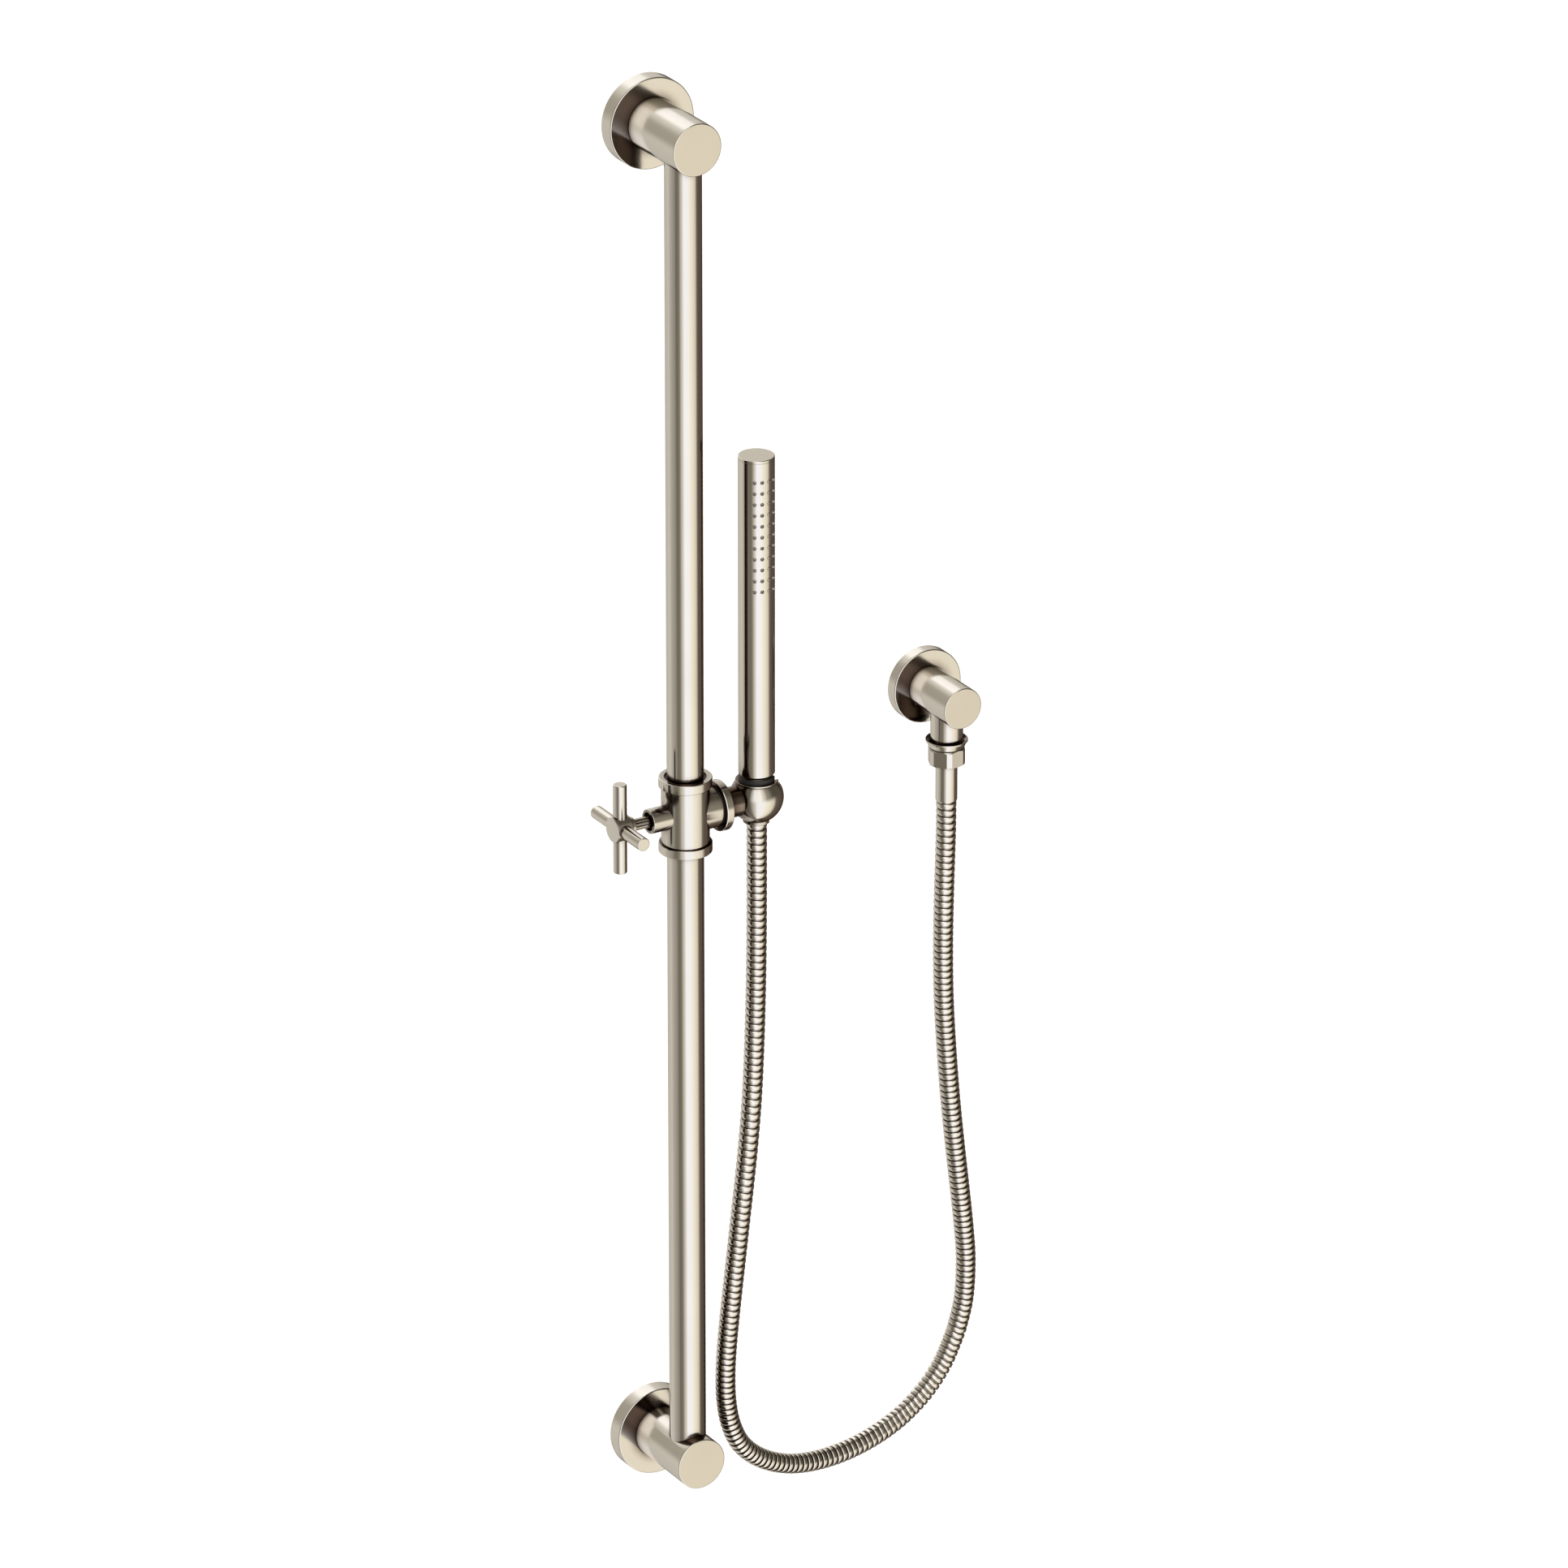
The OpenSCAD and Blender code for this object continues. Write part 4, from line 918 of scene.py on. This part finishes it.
def make_handle():
    """The hub with its four arms and its cap."""
    low, high = box("handle_hub")
    back, front, cap_front = -high.x, -low.x, -box("hub_cap")[0].x
    radius, neck_r, neck_len, bore_r = (high.z - low.z) / 2, 6.2, 3.4, 3.05
    pocket_r, floor, cap_wall, over_screw = 5.0, 50.0, 1.2, 3.0
    neck_end, plug_r, plug_end = back + neck_len, pocket_r - GAP, floor + over_screw
    corners = [(bore_r, back, 0.1), (neck_r, back, 0.5), (neck_r, neck_end, 0.5),
               (radius, neck_end, 0.7), (radius, front, 0.15), (pocket_r, front, 0.1),
               (pocket_r, floor, 0), (bore_r, floor, 0)]
    metal(turned_ring("hub", corners, "left", SLIDER_AXIS), "handle", "handle_hub")

    face = front + 0.02
    corners = [(0, cap_front, 0), (radius, cap_front, 0.55), (radius, face, 0.12), (plug_r, face, 0),
               (plug_r, plug_end, 0.1), (pocket_r - cap_wall, plug_end, 0.1),
               (pocket_r - cap_wall, front, 0), (0, front, 0)]
    metal(turned_solid("hub_front", corners, "left", SLIDER_AXIS), "handle", "hub_cap")

    arms_low, arms_high = box("handle_arms")
    arm_r, reach, seat = 4.65, (arms_high.z - arms_low.z) / 2, 5.8
    corners = [(0, seat, 0), (arm_r, seat, 0.2), (arm_r, reach, 0.6), (0, reach, 0)]
    centre = Matrix.Translation(Vector((ARMS_X, RAIL_Y, SLIDER_Z)) * MM)
    arms = []
    for k in range(4):
        arm = turned_solid("arm", corners, "up", (0, 0, 0), steps=64)
        arm.data.transform(centre @ Matrix.Rotation(k * math.pi / 2, 4, "X"))
        arms.append(arm)
    metal(joined("arms", arms), "handle", "handle_arms")


def joined(name, parts):
    """Separate meshes that touch nowhere, kept as one piece."""
    bm = bmesh.new()
    for part in parts:
        bm.from_mesh(part.data)
        bpy.data.objects.remove(part)
    return as_object(name, bm)


make_slider_body()
make_collar("upper_collar", 1)
make_collar("lower_collar", -1)
make_clamp_screw()
make_handle()

# ---------------------------------------------------------------- holder

WAND_AXIS = (WAND.x, WAND.y, 0)
DISC_LOW, DISC_HIGH = box("holder_disc")
BALL_LOW, BALL_HIGH = box("holder_ball")
BALL_R = (BALL_HIGH.y - BALL_LOW.y) / 2
LINER_LOW, LINER_HIGH = box("holder_liner")
LINER_R = (LINER_HIGH.y - LINER_LOW.y) / 2 + GAP
SEAT_TOP = BALL_HIGH.z - 5.8  # where the ball's bore starts to taper
PIVOT_R, SPIGOT_R, SPIGOT_DEEP = 3.05, 7.05, 2.0


def make_disc():
    low, high, radius = DISC_LOW.x, DISC_HIGH.x, (DISC_HIGH.z - DISC_LOW.z) / 2
    corners = [(PIVOT_R, low, 0.1), (radius - 0.3, low, 0.4), (radius, low + 0.6, 0.3),
               (radius, high, 0.6), (SPIGOT_R, high, 0.1), (SPIGOT_R, high - SPIGOT_DEEP, 0),
               (PIVOT_R, high - SPIGOT_DEEP, 0)]
    metal(turned_ring("disc", corners, "right", SLIDER_AXIS, steps=128), "holder", "holder_disc")


def make_ball():
    """The ball with its rim, short collar and neck, bored for the liner and slotted for the hose."""
    rim, skirt, neck_end, centre = BALL_HIGH.z, BALL_LOW.z, DISC_HIGH.x, SLIDER_Z
    rim_r, rim_t, skirt_r, hole_r, seat_r = 14.7, 1.2, 9.4, 7.9, 10.05
    neck_r, spigot_r, washer_r, slot_w = 10.5, SPIGOT_R - GAP, 4.9, 15.4
    ball_low = centre - math.sqrt(BALL_R ** 2 - skirt_r ** 2)
    first = math.asin((ball_low - centre) / BALL_R)
    last = math.asin((rim - rim_t - centre) / BALL_R)
    turns = [first + (last - first) * k / 40 for k in range(41)]
    arc = [Vector((BALL_R * math.cos(t), centre + BALL_R * math.sin(t))) for t in turns]
    lip = rounded([(0, rim - rim_t, 0), (rim_r, rim - rim_t, 0.35), (rim_r, rim, 0.4), (0, rim, 0)],
                  closed=False)
    collar = rounded([(0, skirt, 0), (skirt_r, skirt, 0.5), (skirt_r, ball_low, 0)], closed=False)
    piece = revolve("ball", collar[:-1] + arc + lip[1:], "up", WAND_AXIS, closed=False, steps=144)

    inner = WAND.x - LINER_R + OVER
    neck = [(0, neck_end - SPIGOT_DEEP, 0), (spigot_r, neck_end - SPIGOT_DEEP, 0.2),
            (spigot_r, neck_end, 0), (neck_r, neck_end, 0.3), (neck_r, inner, 0), (0, inner, 0)]
    combine(piece, [turned_solid("join", neck, "right", SLIDER_AXIS)], "UNION")

    bore = [(0, skirt - OVER), (hole_r, skirt - OVER), (hole_r, LINER_LOW.z), (seat_r, LINER_LOW.z),
            (LINER_R, SEAT_TOP), (LINER_R, rim + OVER), (0, rim + OVER)]
    slot_size = Vector((BALL_R + 10, slot_w, 2 * BALL_R + 20)) * MM
    slot_place = Vector((WAND.x + BALL_R / 2 + 5, WAND.y, centre)) * MM
    slot = bmesh.new()
    bmesh.ops.create_cube(slot, size=1,
                          matrix=Matrix.Translation(slot_place) @ Matrix.Diagonal((*slot_size, 1)))
    washer = box("spring_washer")[0].x
    combine(piece, [revolve("cut", bore, "up", WAND_AXIS, closed=False, steps=144),
                    rod("cut", PIVOT_R, neck_end - 3, WAND.x, "right", SLIDER_AXIS, 48),
                    rod("cut", washer_r, washer, WAND.x, "right", SLIDER_AXIS, 48),
                    as_object("cut", slot)], "DIFFERENCE")
    dress(piece, "holder", "holder_ball", "ball_nickel")
    # The neck's sides take the copy of the nickel with the stronger painted shade.
    piece.data.materials.append(MATERIALS["neck_shade_nickel"])
    for face in piece.data.polygons:
        spot = face.center / MM
        off_axis = math.hypot(spot.y - RAIL_Y, spot.z - SLIDER_Z)
        on_neck = off_axis < neck_r + 0.1 and spot.x < WAND.x - BALL_R + neck_r
        if on_neck and abs(face.normal.x) < 0.3:
            face.material_index = 1


make_disc()
make_ball()

# ---------------------------------------------------------------- hand shower

TUBE_LOW, TUBE_HIGH = box("wand_tube")
CAP_LOW, CAP_HIGH = box("wand_cap")
PANEL_LOW, PANEL_HIGH = box("nozzle_panel")
CONE_LOW, CONE_HIGH = box("cone_nut")
TUBE_R = (TUBE_HIGH.x - TUBE_LOW.x) / 2
TUBE_WALL = 1.2
NOZZLE_ROWS, NOZZLE_PITCH, NOZZLE_STEP, NOZZLE_COLUMNS = 11, 7.85, 24.0, 4
NOZZLE_TOP = CAP_HIGH.z - 15.4
NOZZLE_SPAN = NOZZLE_STEP * (NOZZLE_COLUMNS - 1)


def nozzle_places():
    """Height and angle of each nozzle. Angle 0 points out of the wall."""
    for row in range(NOZZLE_ROWS):
        for column in range(NOZZLE_COLUMNS):
            yield NOZZLE_TOP - row * NOZZLE_PITCH, math.radians(column * NOZZLE_STEP - NOZZLE_SPAN / 2)


def at_each_nozzle(name, outline, steps):
    """Copies of a small turned piece, one at each nozzle, pointing out of the tube."""
    copies = []
    for height, angle in nozzle_places():
        place = Matrix.Translation(Vector((WAND.x, WAND.y, height)) * MM)
        copy = revolve("copy", outline, "out", (0, 0, 0), closed=False, steps=steps)
        copy.data.transform(place @ Matrix.Rotation(angle, 4, "Z"))
        copies.append(copy)
    return joined(name, copies)


def make_wand_tube():
    lip, hole_r, low, high = 2.2, 1.35, TUBE_LOW.z, TUBE_HIGH.z
    inner, inside, outside = TUBE_R - TUBE_WALL, 8, 15
    corners = [(THREAD_R, low, 0.1), (TUBE_R - 1.5, low, 0.3), (TUBE_R, low + 1.9, 0.8),
               (TUBE_R, high, 0.12), (inner, high, 0.1), (inner, low + lip, 0), (THREAD_R, low + lip, 0)]
    piece = turned_ring("shower_tube", corners, "up", WAND_AXIS, steps=144)
    hole = [(0, inside), (hole_r, inside), (hole_r, outside), (0, outside)]
    combine(piece, [at_each_nozzle("cut", hole, 20)], "DIFFERENCE")
    metal(piece, "wand", "wand_tube")


def make_wand_cap():
    plug_r, low, joint, top = TUBE_R - TUBE_WALL - GAP, CAP_LOW.z, TUBE_HIGH.z + 0.04, CAP_HIGH.z
    corners = [(0, low, 0), (plug_r, low, 0.4), (plug_r, joint, 0), (TUBE_R, joint, 0.15),
               (TUBE_R, top, 0.5), (0, top, 0)]
    piece = turned_solid("shower_cap", corners, "up", WAND_AXIS, steps=144)
    metal(piece, "wand", "wand_cap")
    shade_flat_end(piece, (0, 0, 1), top)


def make_nozzles():
    """Domed tips on the sheet of rubber behind the tube's wall."""
    tip_r, jet_r, proud = 1.3, 0.45, WAND.y - PANEL_LOW.y
    sheet_out, sheet_in, sheet_margin = TUBE_R - TUBE_WALL - GAP, 9.35, 14
    outline = rounded([(tip_r, sheet_in + 0.5, 0), (tip_r, proud - 0.5, 0.4),
                       (tip_r - 0.45, proud - 0.05, 0.4), (jet_r + 0.2, proud + 0.05, 0.15),
                       (jet_r, proud - 0.5, 0), (jet_r * 0.8, proud - 1.6, 0), (0, proud - 1.6, 0)],
                      closed=False)
    tips = at_each_nozzle("tips", outline, 24)
    bm = bmesh.new()
    half = math.radians(NOZZLE_SPAN / 2 + sheet_margin)
    columns, rings = 40, []
    for radius, z in ((sheet_in, PANEL_LOW.z), (sheet_out, PANEL_LOW.z),
                      (sheet_out, PANEL_HIGH.z), (sheet_in, PANEL_HIGH.z)):
        ring = []
        for k in range(columns + 1):
            turn = -math.pi / 2 - half + 2 * half * k / columns
            spot = (WAND.x + radius * math.cos(turn), WAND.y + radius * math.sin(turn), z)
            ring.append(bm.verts.new(Vector(spot) * MM))
        rings.append(ring)
    for a, b in zip(rings, rings[1:] + rings[:1]):
        for k in range(columns):
            bm.faces.new((a[k], a[k + 1], b[k + 1], b[k]))
    for k in (0, columns):
        bm.faces.new([ring[k] for ring in rings])
    bmesh.ops.recalc_face_normals(bm, faces=bm.faces)
    piece = joined("nozzles", [as_object("sheet", bm), tips])
    dress(piece, "wand", "nozzle_panel", "nozzle_rubber", sharp=40)


def make_cone_nut():
    """The hose's cone, which rests in the holder and screws to the hand shower."""
    low, top = CONE_LOW.z, CONE_HIGH.z
    radius, tip_r, tail_r, flange_t = 11.2, 8.9, 6.25, 2.0
    ledge = box("wand_hose_tail")[1].z - flange_t
    corners = [(tail_r, low, 0.1), (tip_r, low, 0.4), (radius, SEAT_TOP, 0.4), (radius, top, 0.3),
               (THREAD_R, top, 0.1), (THREAD_R, ledge, 0), (tail_r, ledge, 0)]
    metal(turned_ring("hose_cone", corners, "up", WAND_AXIS), "wand", "cone_nut")


make_wand_tube()
make_wand_cap()
make_nozzles()
make_cone_nut()
